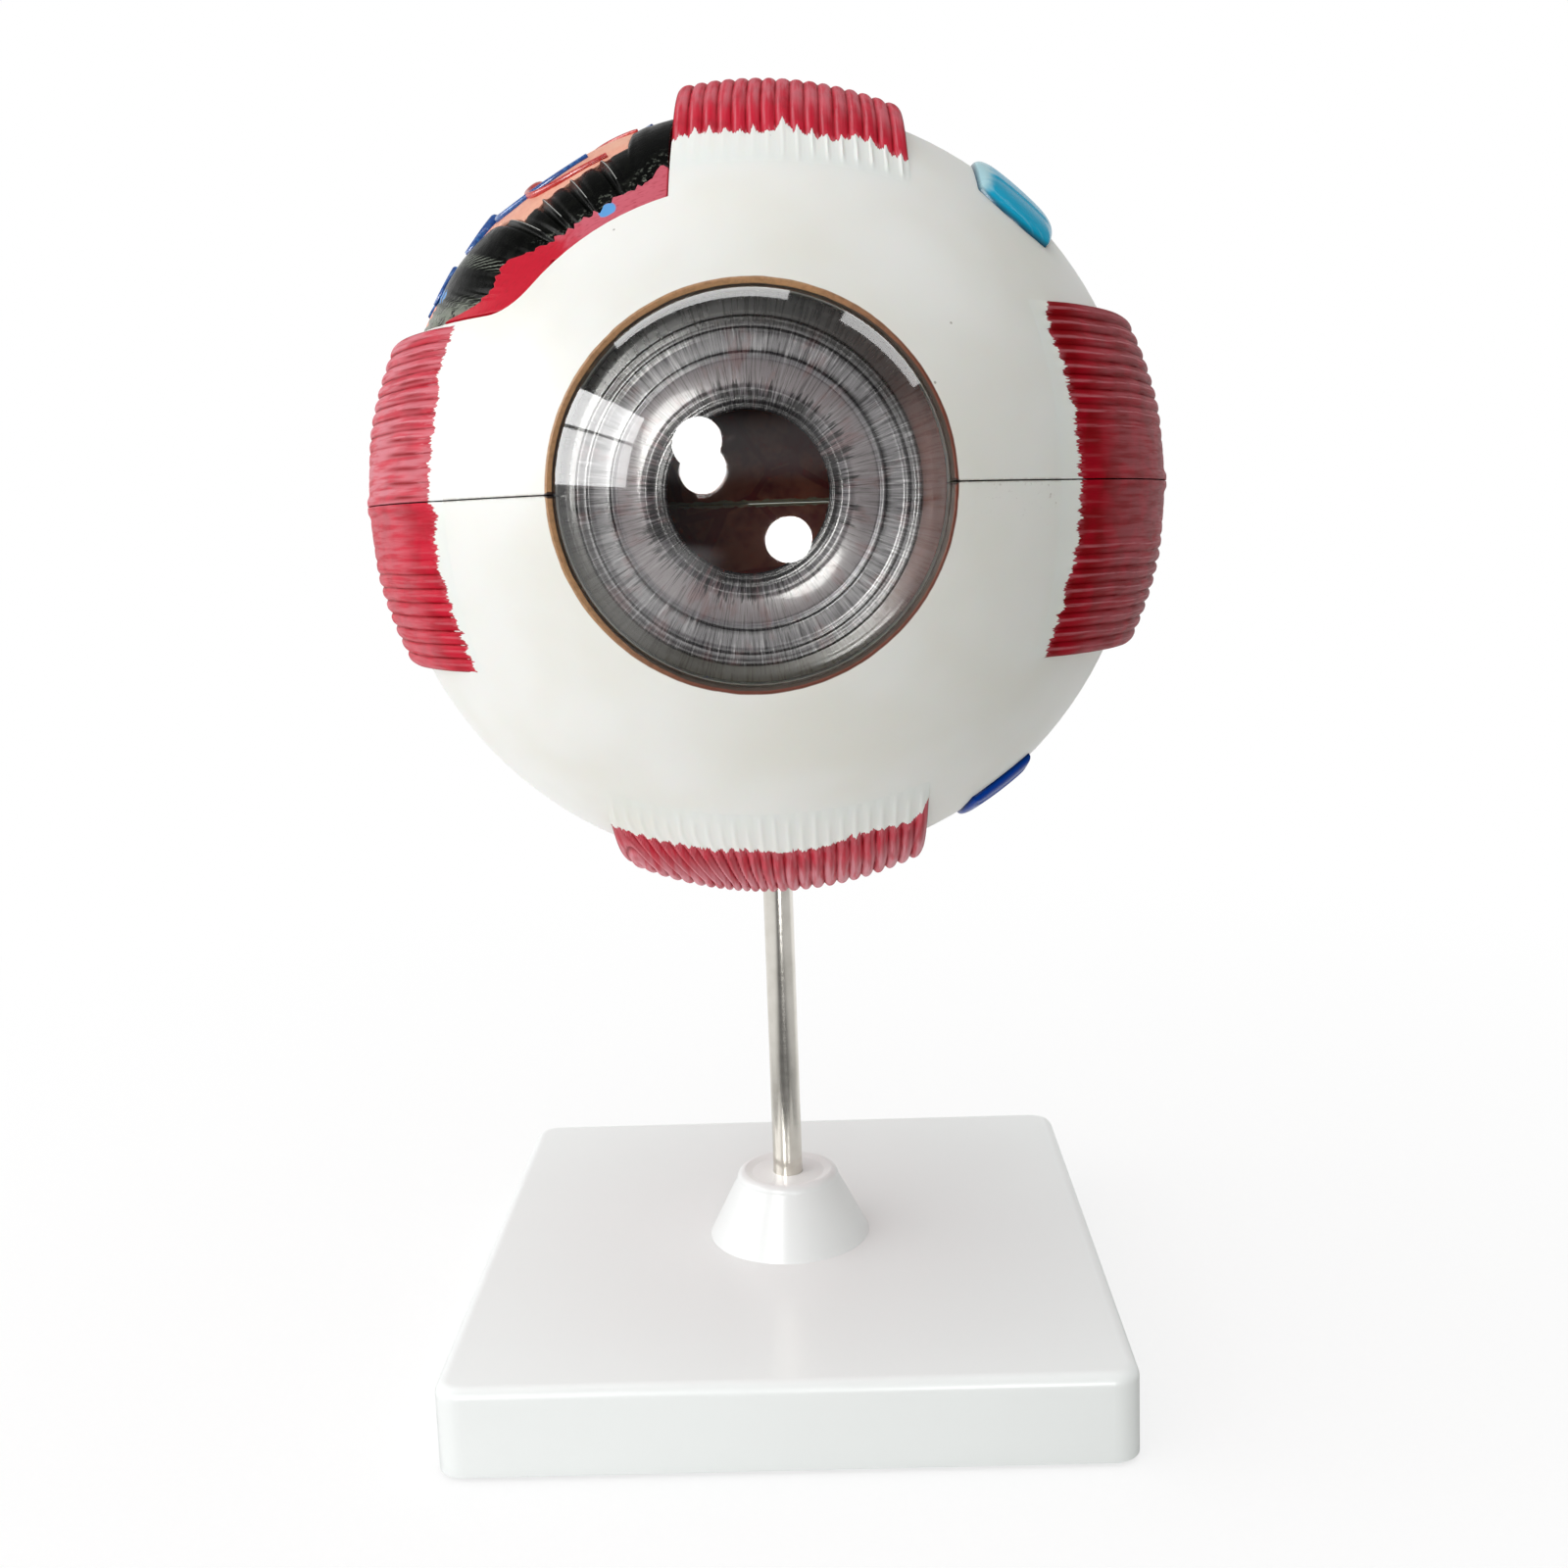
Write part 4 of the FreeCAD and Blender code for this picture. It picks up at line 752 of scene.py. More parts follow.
def build_muscle(name, plan, material, roll_depth):
    """A fan of rounded rolls that rises out of the sclera and ends in a cut face."""
    low, high = plan.sides
    superior, inferior, side_muscle = plan.turn == 0, plan.turn == 180, abs(plan.turn) == 90
    rolls = round((high - low) / plan.pitch)
    across = np.linspace(low, high, rolls * 10 + 1)[None, :]
    arc = math.radians(1) * EYE_RADIUS
    rows = int((MUSCLE_BACK - plan.front) * arc / 0.8)
    angle = np.linspace(plan.front, MUSCLE_BACK, rows)[:, None]
    along = (angle - plan.front) * arc
    turned = np.radians(angle)
    (cy, cz), crest_radius = rim_circle(plan.front, plan.thickness)
    toward = -np.cos(turned) * cy + np.sin(turned) * cz
    crest = toward + np.sqrt(toward**2 - cy**2 - cz**2 + crest_radius**2 - across**2)
    shell = np.sqrt(EYE_RADIUS**2 - across**2)
    # Rolls: convex between sharp grooves, which lean and wander a little
    draw = np.random.default_rng(sum(map(ord, name)))
    shift = 0.26 * smooth(across, -4, 16) * np.clip(along - 8, 0, 22) if inferior else 0.0
    for wave in (37.0, 19.0):
        phase = draw.uniform(0, 2 * np.pi, 2)
        shift = shift + 0.06 * np.sin(2 * np.pi * along / wave + phase[0] + across / 7 + phase[1])
    shift = shift * smooth(np.minimum(across - low, high - across), 0, 4)
    place = (across - low + shift) / (high - low) * rolls
    cycle = place - np.floor(place)
    middle = np.abs(2 * cycle - 1)
    number = np.clip(np.floor(place).astype(int), 0, rolls)
    heights = draw.uniform(0.72, 1.0, rolls + 2)
    starts = draw.uniform(1.2, 4.2, rolls + 2)
    if superior:
        starts -= np.linspace(0, 1.6, rolls + 2)
    begin = np.maximum(starts[number], 0.3)
    depth = roll_depth / MM * heights[number] * (1.6 if inferior else 1.0)
    if side_muscle:
        depth = depth * (0.12 + 0.88 * smooth(np.abs(across), 5, 16))
    past = (angle - np.interp(across[0], *zip(*plan.edge))[None, :]) * arc
    lift = (crest - shell) * smooth(along, 0.0, 19.0 if superior else 13.0)
    end = smooth(along[-1, 0] - along, 0, 1.6)
    groove = depth * middle**2.3 * (0.04 + 0.96 * smooth(past, -1.5, 2.5))
    height = lift * (0.9 + 0.1 * end) - groove
    # Thin ridges that the rolls run out into, ahead of the paint
    ridge, spread = plan.ridge
    fan = 0.1 + 0.9 * smooth(across, 0, 22) if superior else 1.0
    ridge = ridge * fan * np.clip(1 - middle / spread, 0, 1)
    height += ridge * smooth(along, begin, begin + 3.5) * (1 - smooth(past, -1, 3))
    height = np.minimum(height - SUNK * (1 - smooth(along, 0, 2)), crest - shell - 0.02)
    if side_muscle:
        # Flat beside the seam, but for a low raised lip along it
        beside = smooth(np.abs(across), 1.0, 2.2)
        flat = 0.4 * (1 - smooth(np.abs(across), 6, 15)) * beside
        height -= flat * smooth(along, 5, 10)
    radius = shell + height
    grids = []
    for reach in (radius, np.minimum(shell - SUNK, radius - 0.02)):
        grid = np.stack((across + 0 * reach, -reach * np.cos(turned), reach * np.sin(turned)), -1)
        grids.append(placed(turned_about(grid, "Y", plan.turn)))
    # What the paint reads: the line along each roll is a painted highlight, and the paint's paling
    # mixes real wear with a painted sheen that grows away from its edge
    teeth = np.random.default_rng(7).uniform(0.3, 1.7, rolls + 2)[number] * plan.notch
    past = past - teeth * np.clip(1 - middle / 0.45, 0, 1) + 0.3 * plan.notch
    cut = smooth(depth, 0.05, 0.4)
    beyond = cycle - plan.crest_at
    line = plan.line * peak(beyond, 0.06 if plan.turn == 90 else 0.09) * (0.25 + 0.75 * cut)
    below = beyond * (1 if plan.turn == 90 else -1)
    under = peak(below - 0.2, 0.04 + 0.13 * smooth(past, 1, 8)) * min(1.0, 1.6 * plan.worn)
    marks = {
        "past_edge": past, "across": across, "along": along, "line": line,
        "crest": (1 - middle**2.3) * cut + 1 - cut,
        "stroke": under * (1 - smooth(past, 11, 19)),
        "thinness": plan.worn + plan.fade * smooth(past, 3, 14), "depth": plan.dark,
    }
    mesh = sheet_mesh(grids, marks)
    return new_piece(name + "_painted", mesh, material, plan.body, name, 42.0)


def bore_for_rod(piece):
    """Cuts the passage for the rod through a piece."""
    tool = bpy.data.meshes.new("passage")
    work = bmesh.new()
    size = ROD_PASSAGE * MM
    low = Matrix.Translation((0, 0, (EYE_HEIGHT - EYE_RADIUS) * MM))
    cylinder = {"cap_ends": True, "segments": 72, "radius1": size, "radius2": size, "depth": 0.03}
    bmesh.ops.create_cone(work, matrix=low, **cylinder)
    work.to_mesh(tool)
    work.free()
    cutter = bpy.data.objects.new("passage", tool)
    bpy.context.scene.collection.objects.link(cutter)
    cut = piece.modifiers.new("passage", "BOOLEAN")
    cut.object = cutter
    cut.solver = "EXACT"
    mesh = evaluated_mesh(piece)
    piece.modifiers.clear()
    piece.data = mesh
    bpy.data.objects.remove(cutter)


PAD_RIDGE = 0.2
# Body, slot, thickness, width, length, bearing, elevation and twist
PADS = {
    "superior_oblique": ("sclera_upper", "oblique_light", 2.3, 18, 30, 68, 45, 27.5),
    "inferior_oblique": ("eyeball_lower", "oblique_dark", 1.5, 16, 19, 72.5, -51.8, -30),
}


def build_pad(name, material):
    """A softly domed pad with a rounded rim, wrapped on the sclera."""
    body, slot, thickness, width, length, bearing, elevation, twist = PADS[name]
    steps = np.linspace(-1, 1, 73)
    a, b = np.meshgrid(steps, steps)
    squeeze = 0.25
    x = length / 2 * a * np.sqrt(1 - squeeze * b**2)
    y = width / 2 * b * np.sqrt(1 - squeeze * a**2)
    rim = np.maximum(abs(a), abs(b))
    ridge = PAD_RIDGE * peak(x + 0.2 * length, 0.7) * smooth(1 - abs(b), 0.12, 0.4)
    dome = (thickness - PAD_RIDGE) * np.sqrt(np.clip(1 - rim**7, 0, 1))
    height = dome + ridge - SUNK * smooth(rim, 0.97, 1)
    sides = np.stack((x, y, np.sqrt(EYE_RADIUS**2 - x**2 - y**2)), -1) / EYE_RADIUS
    grids = []
    for reach in (EYE_RADIUS + height, EYE_RADIUS - SUNK - 0.05 + 0 * height):
        grid = turned_about(sides * reach[..., None], "Z", twist)
        grid = turned_about(grid, "X", 90 - elevation)
        grids.append(placed(turned_about(grid, "Z", bearing)))
    mesh = sheet_mesh(grids, {"along": x, "across": y, "rim": rim})
    return new_piece(name + "_pad", mesh, material, body, name, 50.0)


# Window ---------------------------------------------------------------------------------------


def window_clocks(angle):
    """Clock angles of the window's straight side and of its sill at an angle from the front."""
    reach = WINDOW_FLOOR * np.sin(np.radians(angle))
    side = np.degrees(np.arccos(np.clip(-WINDOW_SIDE / reach, -1, 1)))
    sill = 180 - np.degrees(np.arcsin(np.clip(WINDOW_SILL / reach, -1, 1)))
    return side, sill


def window_point(radius, angle, share):
    """A point by radius, angle, and share of the way from the straight side to the sill."""
    side, sill = window_clocks(angle)
    return on_sphere(radius, angle, side + (sill - side) * share)


def window_front(shares):
    """Front angle of the window for each share, with its rounded lower corner."""
    turn = WINDOW_CORNER / EYE_RADIUS
    y = -math.cos(math.radians(WINDOW_FRONT) + turn)
    z = math.cos(math.acos(WINDOW_SILL / EYE_RADIUS) - turn)
    middle = np.array((-math.sqrt(1 - y**2 - z**2), y, z))
    fronts = []
    for share in shares:
        angles = np.arange(WINDOW_FRONT, 62, 0.05)
        ways = window_point(1.0, angles, share)
        inside = ways @ middle > math.cos(turn)
        beyond = (ways[:, 1] > y) | (ways[:, 2] > z)
        fronts.append(angles[np.argmax(inside | beyond)])
    return np.array(fronts)


SPOT_PLACE = tuple(on_sphere(71.2, 46.6, 115.9).tolist())
# Blobs of light blue paint on the worn end: place and size
BLOB_PLACES = [
    (tuple(window_point(70.6, np.array(angle), np.array(share)).tolist()), size)
    for angle, share, size in ((74.0, 0.865, 1.6), (71.0, 0.88, 1.4), (68.0, 0.885, 1.0))
]
# (share, angle) points along the back of the red band and of the folds
CHOROID_BACK = [
    (0, 51.5), (0.02, 52.2), (0.09, 49.1), (0.21, 48.4), (0.36, 47.6), (0.51, 48), (0.59, 48.2),
    (0.69, 50.5), (0.74, 53.2), (0.8, 52.8), (0.88, 51.6), (0.91, 51.9), (0.95, 53), (0.98, 56),
    (1, 60.5),
]
FOLDS_BACK = [
    (0, 73.5), (0.13, 73), (0.15, 62.9), (0.24, 62.1), (0.35, 61.3), (0.46, 61.2), (0.565, 60.2),
    (0.6, 67), (0.64, 72), (0.7, 75), (0.76, 76.5), (0.86, 77.5), (1, 79),
]
# Crests between the folds, as shares of the way to the sill at the folds' front and back
FOLD_CRESTS = [(0.2, 0.245), (0.345, 0.36), (0.475, 0.47), (0.565, 0.585)]


def ragged(shares, line, amount, seed):
    """A line of (share, angle) points with a hand-cut wobble."""
    draw = np.random.default_rng(seed)
    knots = np.linspace(0, 1, 60)
    wobble = np.interp(shares, knots, draw.uniform(-amount, amount, 60))
    return np.interp(shares, *zip(*line)) + wobble


def build_window_piece(name, source, front, back, relief, material):
    """A relief on the window's floor between two lines, whose height is relief(angle, share)."""
    rows = np.linspace(0, 1, 90)[:, None]
    shares = np.linspace(0, 1, len(front))[None, :]
    width = (back - front)[None, :]
    angle = front[None, :] + width * rows
    height, more = relief(angle, shares, rows)
    # Its edges are rounded, as far in as EDGE_WIDTH millimetres
    along = np.minimum(rows, 1 - rows) * width * DEGREE_LENGTH
    edge = np.minimum(along, np.minimum(shares, 1 - shares) * WINDOW_SPAN)
    rounding = 1 - np.clip(edge / EDGE_WIDTH, 0, 1)
    height = height - EDGE_DROP * (1 - np.sqrt(np.clip(1 - rounding**2, 0, 1)))
    top = window_point(WINDOW_FLOOR + height, angle, shares)
    bottom = window_point(WINDOW_FLOOR + 0.04 + 0 * height, angle, shares)
    mesh = sheet_mesh((placed(top), placed(bottom)), {"angle": angle, "share": shares, **more})
    return new_piece(name, mesh, material, "sclera_upper", source, 45.0)


def choroid_relief(angle, shares, rows):
    """Smooth painted band, a little hollow along its middle."""
    return 1.3 - 0.15 * np.sin(np.pi * rows) + 0 * shares, {}


def fold_relief(angle, shares, rows):
    """Blocky folds between thin raised crests, then one long lobe, then low hatched ground."""
    height = 0.95 + 0.55 * np.sin(np.pi * np.clip(rows, 0, 1)) + 0 * shares
    crest = np.zeros_like(height)
    dip = np.zeros_like(height)
    for start, end in FOLD_CRESTS:
        line = start + (end - start) * rows
        offset = (shares - line) * FOLD_SPAN
        crest = np.maximum(crest, peak(offset, 0.34) * smooth(rows, 0.12, 0.3))
        dip = np.maximum(dip, np.maximum(peak(offset - 1.2, 0.8), 0.6 * peak(offset + 1.3, 0.9)))
    block = 1 - smooth(shares, 0.09, 0.14)
    lobe = smooth(shares, 0.59, 0.64) * (1 - smooth(shares, 0.76, 0.86))
    height = height + 0.3 * block + 0.28 * lobe * np.sin(np.pi * rows)
    height = height - 0.55 * dip * (1 - crest) + 0.3 * crest
    height = height - 0.5 * smooth(shares, 0.82, 0.93)
    hatch = np.sin(shares * 260 + rows * 22) * smooth(shares, 0.86, 0.92) * 0.12
    height = np.clip(height + hatch, 0.4, 1.95)
    return height, {"crest": crest, "row": rows + 0 * shares}


def retina_relief(angle, shares, rows):
    """Gently rippled panel."""
    ripple = 0.06 * np.sin(angle * 1.1 + shares * 9) * np.sin(shares * 23)
    return 0.92 + ripple, {}


def vessel(name, route, thickness, material, slot):
    """A raised vessel along (angle, share) points, tapered towards its tip."""
    curve = bpy.data.curves.new(name, "CURVE")
    curve.dimensions = "3D"
    curve.bevel_depth = 1.0
    curve.bevel_resolution = 4
    curve.use_fill_caps = True
    curve.resolution_u = 8
    spline = curve.splines.new("NURBS")
    spline.points.add(len(route) - 1)
    for number, (angle, share) in enumerate(route):
        radius = thickness / 2 * (1 - 0.55 * number / (len(route) - 1))
        point = placed(window_point(VESSEL_DEPTH + 0.25 * radius, np.array(angle), np.array(share)))
        spline.points[number].co = (*point.tolist(), 1)
        spline.points[number].radius = radius * MM
    spline.order_u = 4
    spline.use_endpoint_u = True
    line = bpy.data.objects.new(name, curve)
    bpy.context.scene.collection.objects.link(line)
    mesh = evaluated_mesh(line)
    bpy.data.objects.remove(line)
    return new_piece(name, mesh, material, "sclera_upper")


# (angle, share) points along each vessel, and its thickness
ARTERIES = [
    ([(119, 0.4), (110, 0.43), (100, 0.4), (90, 0.44), (80, 0.43), (72, 0.5), (65.5, 0.48),
      (63.6, 0.4), (63.2, 0.31), (63.4, 0.22)], 2.2),
    ([(95, 0.42), (88, 0.3), (79, 0.24), (75, 0.14), (74.5, 0.12)], 1.5),
    ([(104, 0.41), (96, 0.56), (88, 0.64), (83, 0.74), (80, 0.8)], 1.6),
]
VEINS = [
    ([(119, 0.52), (111, 0.5), (101, 0.52), (91, 0.53), (82, 0.56), (74, 0.61), (70.5, 0.57),
      (68.6, 0.47), (68, 0.37), (69.5, 0.28)], 2.2),
    ([(98, 0.52), (90, 0.7), (84, 0.83), (81, 0.9), (80, 0.93)], 1.7),
    ([(108, 0.51), (100, 0.33), (92, 0.2), (84, 0.12), (78, 0.08)], 1.5),
    ([(80, 0.6), (76.5, 0.64), (74.5, 0.68), (75, 0.73)], 2.6),
    ([(79, 0.78), (76.5, 0.81), (75.5, 0.86), (76, 0.9)], 1.6),
]


# Settings -------------------------------------------------------------------------------------


def colour(name, description, code):
    """A colour setting with its default as a hex code."""
    return FloatVectorProperty(
        name=name, description=description, default=linear(code), subtype="COLOR", min=0, max=1
    )


class StandSettings(bpy.types.PropertyGroup):
    """Finishes of the stand."""

    white: colour("White plastic", "Moulded plinth and collar", "FAFDFC")
    sheet: colour("EVA sheet", "Non-slip sheet under the plinth", "262627")
    steel: colour("Steel rod", "Ground stainless steel", "DEDAD2")
    zinc: colour("Plated steel", "Nut, washer and locating pins", "B9BDC2")
    brass: colour("Brass", "Socket on the rod", "C8A24C")


class ShellSettings(bpy.types.PropertyGroup):
    """Finishes of the sclera."""

    ivory: colour("Ivory", "Moulded sclera", "F2F2EE")
    # The rim's two colours are one paint, painted lit on the nose side and shaded on the temple
    # side
    rim_lit: colour("Rim, nose side", "Paint on the opening's bevel", "B4885E")
    rim_shaded: colour("Rim, temple side", "Paint on the opening's bevel", "743A2A")
    grime: colour("Grime", "Dirt along the seam", "6B4A38")


class MuscleSettings(bpy.types.PropertyGroup):
    """Shape and paint of the straight muscles."""

    red: colour("Red", "Brushed paint", "D60C32")
    deep: colour("Deep red", "Paint in the grooves", "86040F")
    # The thin paint also gives the painted highlight lines and the painted sheen away from the edge
    pale: colour("Thin paint", "Paint worn over the crests", "DC8E98")
    roll_depth: FloatProperty(
        name="Roll depth",
        description="Depth of the grooves between a muscle's rolls",
        default=0.0007,
        min=0.0,
        max=0.0007,
        subtype="DISTANCE",
        unit="LENGTH",
    )


class PadSettings(bpy.types.PropertyGroup):
    """Paint of the oblique muscles' pads."""

    light: colour("Light blue", "Superior oblique", "08AAD2")
    light_pale: colour("Thin light blue", "Its thin end", "BFE3E8")
    light_edge: colour("Teal rim", "Its rim", "17405A")
    dark: colour("Dark blue", "Inferior oblique", "063FA0")
    # The dark pad's pale end is a painted highlight
    dark_pale_highlight: colour("Thin dark blue", "Its thin end", "1A4A9A")
    dark_edge: colour("Navy rim", "Its rim", "08204E")


class WindowSettings(bpy.types.PropertyGroup):
    """Paint in the cut-away window."""

    crimson: colour("Crimson", "Choroid band near the sill", "C6082A")
    # The band's pale top colour is a painted sheen
    sheen_pink: colour("Pink", "Choroid band near the top", "CC5E6E")
    black: colour("Black", "Ciliary folds", "040504")
    # The grey is the painted highlight on the folds' crests; the greenish colour after it serves
    # the painted highlights at their front ends and the real wear at their far end
    grey: colour("Worn crests", "Edges of the folds", "B6B8B4")
    green: colour("Worn ends", "Ends of the folds", "868C80")
    peach: colour("Peach", "Retina panel", "F0A98F")
    artery: colour("Artery", "Raised arteries", "BE1A14")
    vein: colour("Vein", "Raised veins", "134A98")


class InnerSettings(bpy.types.PropertyGroup):
    """Finishes of the pieces inside the eyeball and of the optic nerve."""

    retina: colour("Retina", "Inside of the inner shell", "F8886A")
    choroid: colour("Choroid", "Outside of the inner shell", "9E2A26")
    # The bare edge colour also stands in for light through the seam: partly painted light
    bare_edge_and_seam_light: colour("Bare edge", "Unpainted rim of the inner shell", "F4E0C0")
    ciliary: colour("Ciliary ring", "Painted ring round the lens", "1B1A18")
    sheath: colour("Nerve sheath", "Outside of the optic nerve", "ECE6D2")
    nerve: colour("Optic nerve", "Core of the optic nerve", "DDB95A")
    lens: colour("Lens", "Tint of the moulded lens", "FAFAF7")
    vitreous: colour("Vitreous body", "Tint of the blown body", "F2F6F4")


class IrisSettings(bpy.types.PropertyGroup):
    """Print of the iris, and the cornea over it."""

    grey: colour("Grey", "Middle zone", "968E92")
    dark: colour("Dark streaks", "Fine radial lines", "2A272C")
    light: colour("Light streaks", "Fine radial lines", "C6C3C8")
    # The outer band's colours: painted shade on the nose side and top, lit copies on the temple
    # side and below
    brown_shaded: colour("Brown band", "Outer band on the nose side", "15110F")
    russet_lit: colour("Russet band", "Outer band on the temple side", "6A3222")
    olive_lit: colour("Olive band", "Outer band below", "5A554A")
    clear: colour("Cornea", "Tint of the formed dome", "FCFCFB")
    segments: IntProperty(
        name="Segments", description="Faces round the iris and cornea", default=288, min=48, max=720
    )


class StageSettings(bpy.types.PropertyGroup):
    """Floor and light round the model."""

    floor: colour("Floor", "Plain floor and backdrop", "FFFFFF")
    ambient: FloatProperty(
        name="Ambient", description="Light from all round", default=1.0, min=0.0, max=2.0
    )


# Operators ------------------------------------------------------------------------------------


class EYE_OT_stand(bpy.types.Operator):
    """Finish the plinth, collar, rod and fasteners"""

    bl_idname = "eye_model.stand"
    bl_label = "Stand"

    def execute(self, context):
        s = context.scene.eye_stand
        plinth = "base_plate", "stand_collar"
        dress(plinth, "ABS, injection moulded white", moulded_abs, s.white)
        dress(["base_pad"], "EVA sheet, die cut", cut_sheet, s.sheet)
        dress(["support_rod"], "Stainless steel, ground", ground_steel, s.steel)
        plated = "rod_washer", "rod_nut", "locating_pins"
        dress(plated, "Steel, turned and zinc plated", plated_steel, s.zinc)
        dress(["rod_socket"], "Brass, turned", turned_brass, s.brass)
        return {"FINISHED"}


class EYE_OT_shells(bpy.types.Operator):
    """Finish both halves of the sclera"""

    bl_idname = "eye_model.shells"
    bl_label = "Sclera"

    def execute(self, context):
        s, w = context.scene.eye_shells, context.scene.eye_window
        paints = s.ivory, s.rim_lit, s.rim_shaded, s.grime, w.crimson
        halves = "sclera_upper", "sclera_lower"
        dress(halves, "PVC, rotationally moulded ivory", moulded_pvc, *paints)
        return {"FINISHED"}


class EYE_OT_muscles(bpy.types.Operator):
    """Build the six painted pieces of the straight muscles"""

    bl_idname = "eye_model.muscles"
    bl_label = "Straight muscles"

    def execute(self, context):
        s = context.scene.eye_muscles
        paints = context.scene.eye_shells.ivory, s.red, s.deep, s.pale
        material = new_material("Acrylic paint, brushed over ribbed PVC", painted_muscle, *paints)
        for name, plan in MUSCLES.items():
            piece = build_muscle(name, plan, material, s.roll_depth)
            if name == "inferior_rectus":
                bore_for_rod(piece)
        return {"FINISHED"}


class EYE_OT_pads(bpy.types.Operator):
    """Build the two oblique muscle pads"""

    bl_idname = "eye_model.pads"
    bl_label = "Oblique muscles"

    def execute(self, context):
        s = context.scene.eye_pads
        paints = s.light, s.light_pale, s.light_edge, 0.24
        light = new_material("Enamel, brushed light blue", painted_pad, *paints)
        build_pad("superior_oblique", light)
        paints = s.dark, s.dark_pale_highlight, s.dark_edge, 0.02
        dark = new_material("Enamel, brushed dark blue", painted_pad, *paints)
        build_pad("inferior_oblique", dark)
        return {"FINISHED"}


class EYE_OT_window(bpy.types.Operator):
    """Build the cut-away window with its folds and vessels"""

    bl_idname = "eye_model.window"
    bl_label = "Window"

    def execute(self, context):
        s = context.scene.eye_window
        shares = np.linspace(0, 1, 420)
        edge = window_front(shares)
        middle = np.maximum(ragged(shares, CHOROID_BACK, 0.8, 3), edge + 0.6)
        back = np.maximum(ragged(shares, FOLDS_BACK, 0.15, 5), middle + 0.6)
        end = np.full_like(shares, WINDOW_BACK)
        gap = 0.05
        red = "Acrylic paint, glossy crimson", choroid_paint, s.crimson, s.sheen_pink, linear("5B9FDC")
        black = "Enamel, glossy black over folds", fold_paint, s.black, s.grey, s.green
        peach = "Acrylic paint, brushed peach", brushed_panel, s.peach, linear("E08B70")
        for name, source, front, rear, relief, paint, slot in (
            ("choroid_band", "choroid", edge, middle - gap, choroid_relief, red, "choroid_red"),
            ("ciliary_folds", "folds", middle + gap, back - gap, fold_relief, black, "fold_black"),
            ("retina_panel", "retina", back + gap, end, retina_relief, peach, "retina_peach"),
        ):
            paint = new_material(*paint)
            build_window_piece(name, "window_" + source, front, rear, relief, paint)
        for kind, routes, paint, colours in (
            ("artery", ARTERIES, "red", (s.artery, linear("E2564A"))),
            ("vein", VEINS, "blue", (s.vein, linear("3C8AD0"))),
        ):
            material = new_material("Enamel, glossy " + paint, vessel_paint, *colours)
            for number, (route, size) in enumerate(routes, 1):
                vessel(f"window_{kind}_{number}", route, size, material, f"{kind}_{paint}")
        return {"FINISHED"}


class EYE_OT_inner(bpy.types.Operator):
    """Finish the optic nerve, inner shells, ciliary ring, vitreous body and lens"""

    bl_idname = "eye_model.inner"
    bl_label = "Inner pieces and nerve"

    def execute(self, context):
        s, w = context.scene.eye_inner, context.scene.eye_window
        paints = s.retina, s.choroid, w.artery, s.bare_edge_and_seam_light
        shells = "retina_lower", "retina_upper"
        dress(shells, "PVC, painted retina and choroid", retina_shell, *paints)
        ring = "ciliary_lower", "ciliary_upper"
        dress(ring, "ABS, painted satin black", ciliary_plastic, s.ciliary, linear("45433E"))
        paints = s.sheath, linear("CFC3A2")
        dress(["nerve_sheath"], "PVC, moulded nerve sheath", nerve_sheath_pvc, *paints)
        paints = s.nerve, linear("A67B2C")
        dress(["optic_nerve"], "PVC, painted nerve fibres", nerve_core_paint, *paints)
        paints = w.artery, linear("E2564A")
        dress(["retinal_artery"], "Enamel, artery red", vessel_paint, *paints)
        paints = w.vein, linear("3C8AD0")
        dress(["retinal_vein"], "Enamel, vein blue", vessel_paint, *paints)
        dress(["vitreous"], "Acrylic, blown clear vitreous", clear_acrylic, s.vitreous, 1.02)
        dress(["lens"], "Acrylic, moulded and polished lens", clear_acrylic, s.lens, 1.06)
        return {"FINISHED"}


